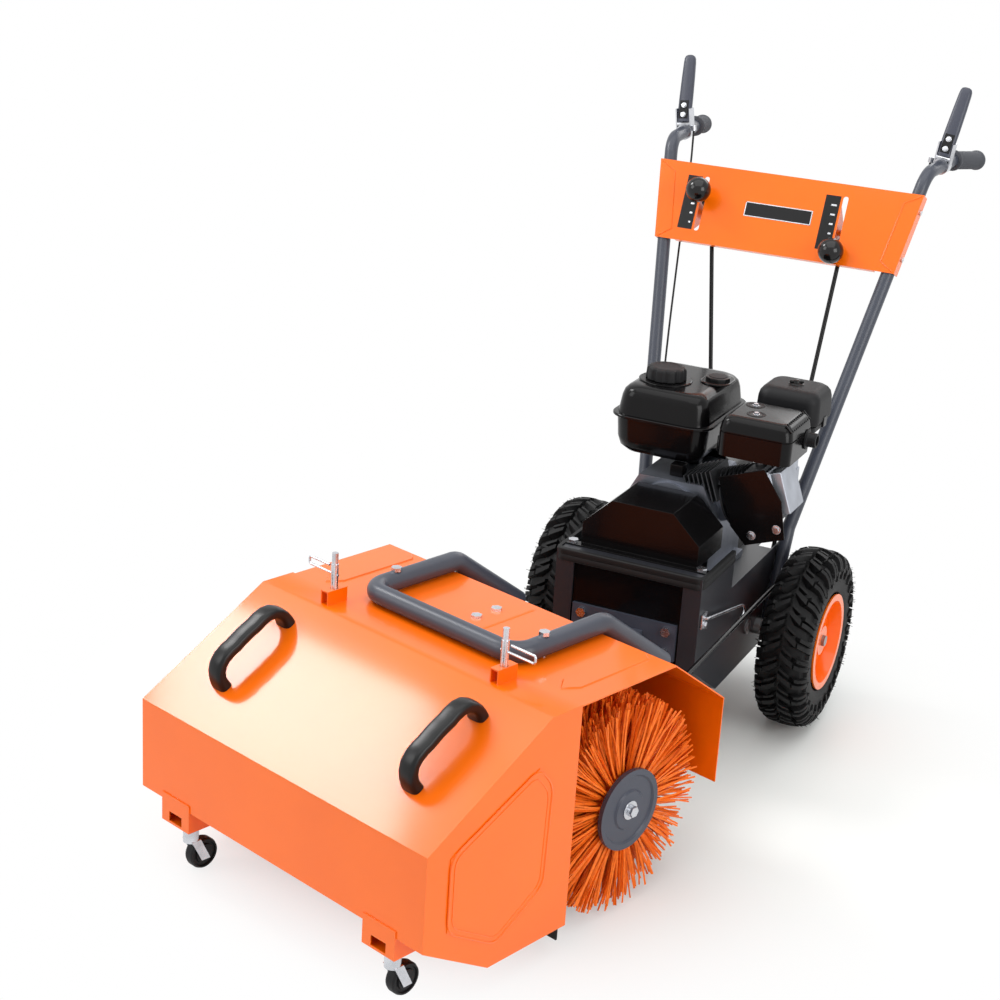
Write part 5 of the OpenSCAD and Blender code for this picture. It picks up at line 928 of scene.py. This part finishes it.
SHROUD_BOLT, SHROUD_BOLT_FACE, SHROUD_BOLT_PLACES = (10, 4, 8), -54, ((62, 138), (58, 186))
shroud = moved(eased(prism(SHROUD_OUTLINE, 0, SHROUD_THICK), SHROUD_EASE),
               CYLINDER @ Matrix.Translation((0, SHROUD_FACE, 0)) @ Matrix.Rotation(math.pi / 2, 4, "X"))
piece("cylinder_shroud", shroud, "black_paint", "chassis")
shroud_bolts = [moved(hex_bolt(*SHROUD_BOLT), CYLINDER @ upright_on((x, SHROUD_BOLT_FACE, z), (0, -1, 0)))
                for x, z in SHROUD_BOLT_PLACES]
piece("shroud_bolts", joined(*shroud_bolts), "zinc", "chassis")

HOOK_PATH = ((134, -322, 296), (142, -322, 297), (143, -312, 295), (143, -150, 259), (143, -136, 255),
             (143, -126, 250), (143, -121, 242), (143, -124, 234), (143, -132, 231))
HOOK_R, HOOK_SIDES, HOOK_BOLT, HOOK_BOLT_AT = 2.8, 12, (10, 4, 8), (137, -320, 284)
HOOK_CLIP_LOW, HOOK_CLIP_HIGH, HOOK_CLIP_EASE = (133.4, -332, 278), (137, -308, 304), 1
hook_clip = block(HOOK_CLIP_LOW, HOOK_CLIP_HIGH, HOOK_CLIP_EASE)
hook_bolt = moved(hex_bolt(*HOOK_BOLT), upright_on(HOOK_BOLT_AT, (1, 0, 0)))
piece("side_hook", joined(swept(HOOK_PATH, HOOK_R, HOOK_SIDES), hook_clip, hook_bolt), "zinc", "chassis")


# Pressed forms of the hood

HOOD_TOP, PRESS_SUNK, PAD_HIGH, STRIP_HIGH = 397.8, 0.5, 2.2, 2.0
PAD_LOW_CORNER, PAD_HIGH_CORNER, PAD_STEPS = (-37, -309), (37, -185), 4
PAD_LEVELS = ((HOOD_TOP - PRESS_SUNK, 0, 6), (HOOD_TOP, 0, 6), (HOOD_TOP + PAD_HIGH, 3, 5))
STRIP_OUTLINE = ((250, -368), (268, -344), (268, -192), (250, -178), (232, -192), (232, -344))
STRIP_X, STRIP_Y, STRIP_TOP_SHARE, STRIP_STRETCH_SHARE = 250, -270, 0.9, 0.075


def hood_strip():
    """A long pressing on the right of the hood's top, its sides sloped."""
    middle = Vector((STRIP_X, STRIP_Y))
    top = [middle + (Vector(p) - middle) * STRIP_TOP_SHARE
           + Vector((0, (p[1] - STRIP_Y) * STRIP_STRETCH_SHARE)) for p in STRIP_OUTLINE]
    return lofted([[(x, y, HOOD_TOP - PRESS_SUNK) for x, y in STRIP_OUTLINE],
                   [(x, y, HOOD_TOP) for x, y in STRIP_OUTLINE],
                   [(x, y, HOOD_TOP + STRIP_HIGH) for x, y in top]])


pad = moulded(PAD_LOW_CORNER, PAD_HIGH_CORNER, PAD_LEVELS, PAD_STEPS)
piece("hood_pressings", joined(pad, mirrored(hood_strip()), hood_strip()), "orange_paint", "head", HEAD)


# Control panel

softened("control_panel", width=1.2)
PANEL_AT, PANEL_LEAN = (0, 289.17, 787), math.radians(67)
PANEL = AXLE @ Matrix.Translation(PANEL_AT) @ Matrix.Rotation(PANEL_LEAN, 4, "X")
PANEL_FACE, TRIM_EASE = 14.7, 0.2
SLOT_PLACES, SCALE_LEFT, SCALE_RIGHT, SCALE_LOW, SCALE_HIGH = (-158, 117), 38, 9, 24, 128
SCALE_SUNK, SCALE_PROUD = 0.3, 0.4
MARKS, MARK_RIGHT, MARK_LOW, MARK_STEP, MARK_THICK, MARK_PROUD = 5, 14, 36, 18, 3.4, 0.7
MARK_LENGTH, MARK_GROWTH = 4, 1.6
scales, marks = [], []
for slot_x in SLOT_PLACES:
    scales.append(block((slot_x - SCALE_LEFT, SCALE_LOW, PANEL_FACE - SCALE_SUNK),
                        (slot_x - SCALE_RIGHT, SCALE_HIGH, PANEL_FACE + SCALE_PROUD), TRIM_EASE))
    mark_end = slot_x - MARK_RIGHT
    for k in range(MARKS):
        mark_y = MARK_LOW + MARK_STEP * k
        marks.append(block((mark_end - MARK_LENGTH - MARK_GROWTH * k, mark_y, PANEL_FACE),
                           (mark_end, mark_y + MARK_THICK, PANEL_FACE + MARK_PROUD), TRIM_EASE))
PLAQUE_LEFT, PLAQUE_RIGHT, PLAQUE_LOW, PLAQUE_HIGH, PLAQUE_RIM = -71, 61, 65, 93, 1.8
PLAQUE_HALF, PLAQUE_CORNER, PLAQUE_EDGE, PLAQUE_RIM_PROUD = 0.5, 3, 0.3, 0.8
plaque = round_slab((PLAQUE_LEFT, PLAQUE_LOW, PANEL_FACE - PLAQUE_HALF),
                    (PLAQUE_RIGHT, PLAQUE_HIGH, PANEL_FACE + PLAQUE_HALF), PLAQUE_CORNER, PLAQUE_EDGE)
# Left, low, right and high side of each bar of the plate's edge
EDGE_BARS = ((PLAQUE_LEFT, PLAQUE_LOW, PLAQUE_RIGHT, PLAQUE_LOW + PLAQUE_RIM),
             (PLAQUE_LEFT, PLAQUE_HIGH - PLAQUE_RIM, PLAQUE_RIGHT, PLAQUE_HIGH),
             (PLAQUE_LEFT, PLAQUE_LOW, PLAQUE_LEFT + PLAQUE_RIM, PLAQUE_HIGH),
             (PLAQUE_RIGHT - PLAQUE_RIM, PLAQUE_LOW, PLAQUE_RIGHT, PLAQUE_HIGH))
plaque_edge = [block((x0, y0, PANEL_FACE), (x1, y1, PANEL_FACE + PLAQUE_RIM_PROUD), PLAQUE_EDGE)
               for x0, y0, x1, y1 in EDGE_BARS]
END_CREASE, CREASE_R, CREASE_SUNK = ((232, 3), (207, 20), (226, 132), (255, 149)), 1.5, 0.1
crease = swept([(x, y, PANEL_FACE - CREASE_SUNK) for x, y in END_CREASE], CREASE_R, WIRE_SIDES)
piece("panel_creases", joined(crease, mirrored(crease)), "orange_paint", "chassis", PANEL)
piece("panel_scales", joined(*scales), "black_plastic", "chassis", PANEL)
piece("panel_marks", joined(*marks), "zinc", "chassis", PANEL)
piece("panel_plate", plaque, "matte_black", "chassis", PANEL)
piece("panel_plate_edge", joined(*plaque_edge), "zinc", "chassis", PANEL)


# Clutch cables

CABLE_ROUTE = ((238, 444, 984), (237, 443, 972), (235, 438, 950), (230, 424, 920), (222, 396, 870),
               (210, 350, 800), (196, 300, 700), (182, 252, 600), (166, 205, 500), (146, 165, 420),
               (122, 138, 360), (104, 122, 325), (97, 113, 310), (96, 112, 300.4))
CABLE_R, CABLE_SIDES, CABLE_STEPS = 2.0, 10, 6


def smoothed(points, steps):
    """A soft curve through the points."""
    knots = [Vector(p) for p in points]
    knots = [knots[0] * 2 - knots[1]] + knots + [knots[-1] * 2 - knots[-2]]
    line = []
    for a, b, c, d in zip(knots, knots[1:], knots[2:], knots[3:]):
        for k in range(steps):
            t = k / steps
            line.append(0.5 * (2 * b + (c - a) * t + (2 * a - 5 * b + 4 * c - d) * t * t
                               + (3 * b - a - 3 * c + d) * t ** 3))
    return line + [knots[-2]]


for cable_name, cable_side in (("left", -1), ("right", 1)):
    line = [Vector((cable_side * p.x, p.y, p.z)) for p in smoothed(CABLE_ROUTE, CABLE_STEPS)]
    cable = piece(cable_name + "_clutch_cable", swept(line, CABLE_R, CABLE_SIDES), "black_plastic", "chassis",
                  stands_for=("clutch_cables",), angle=60)
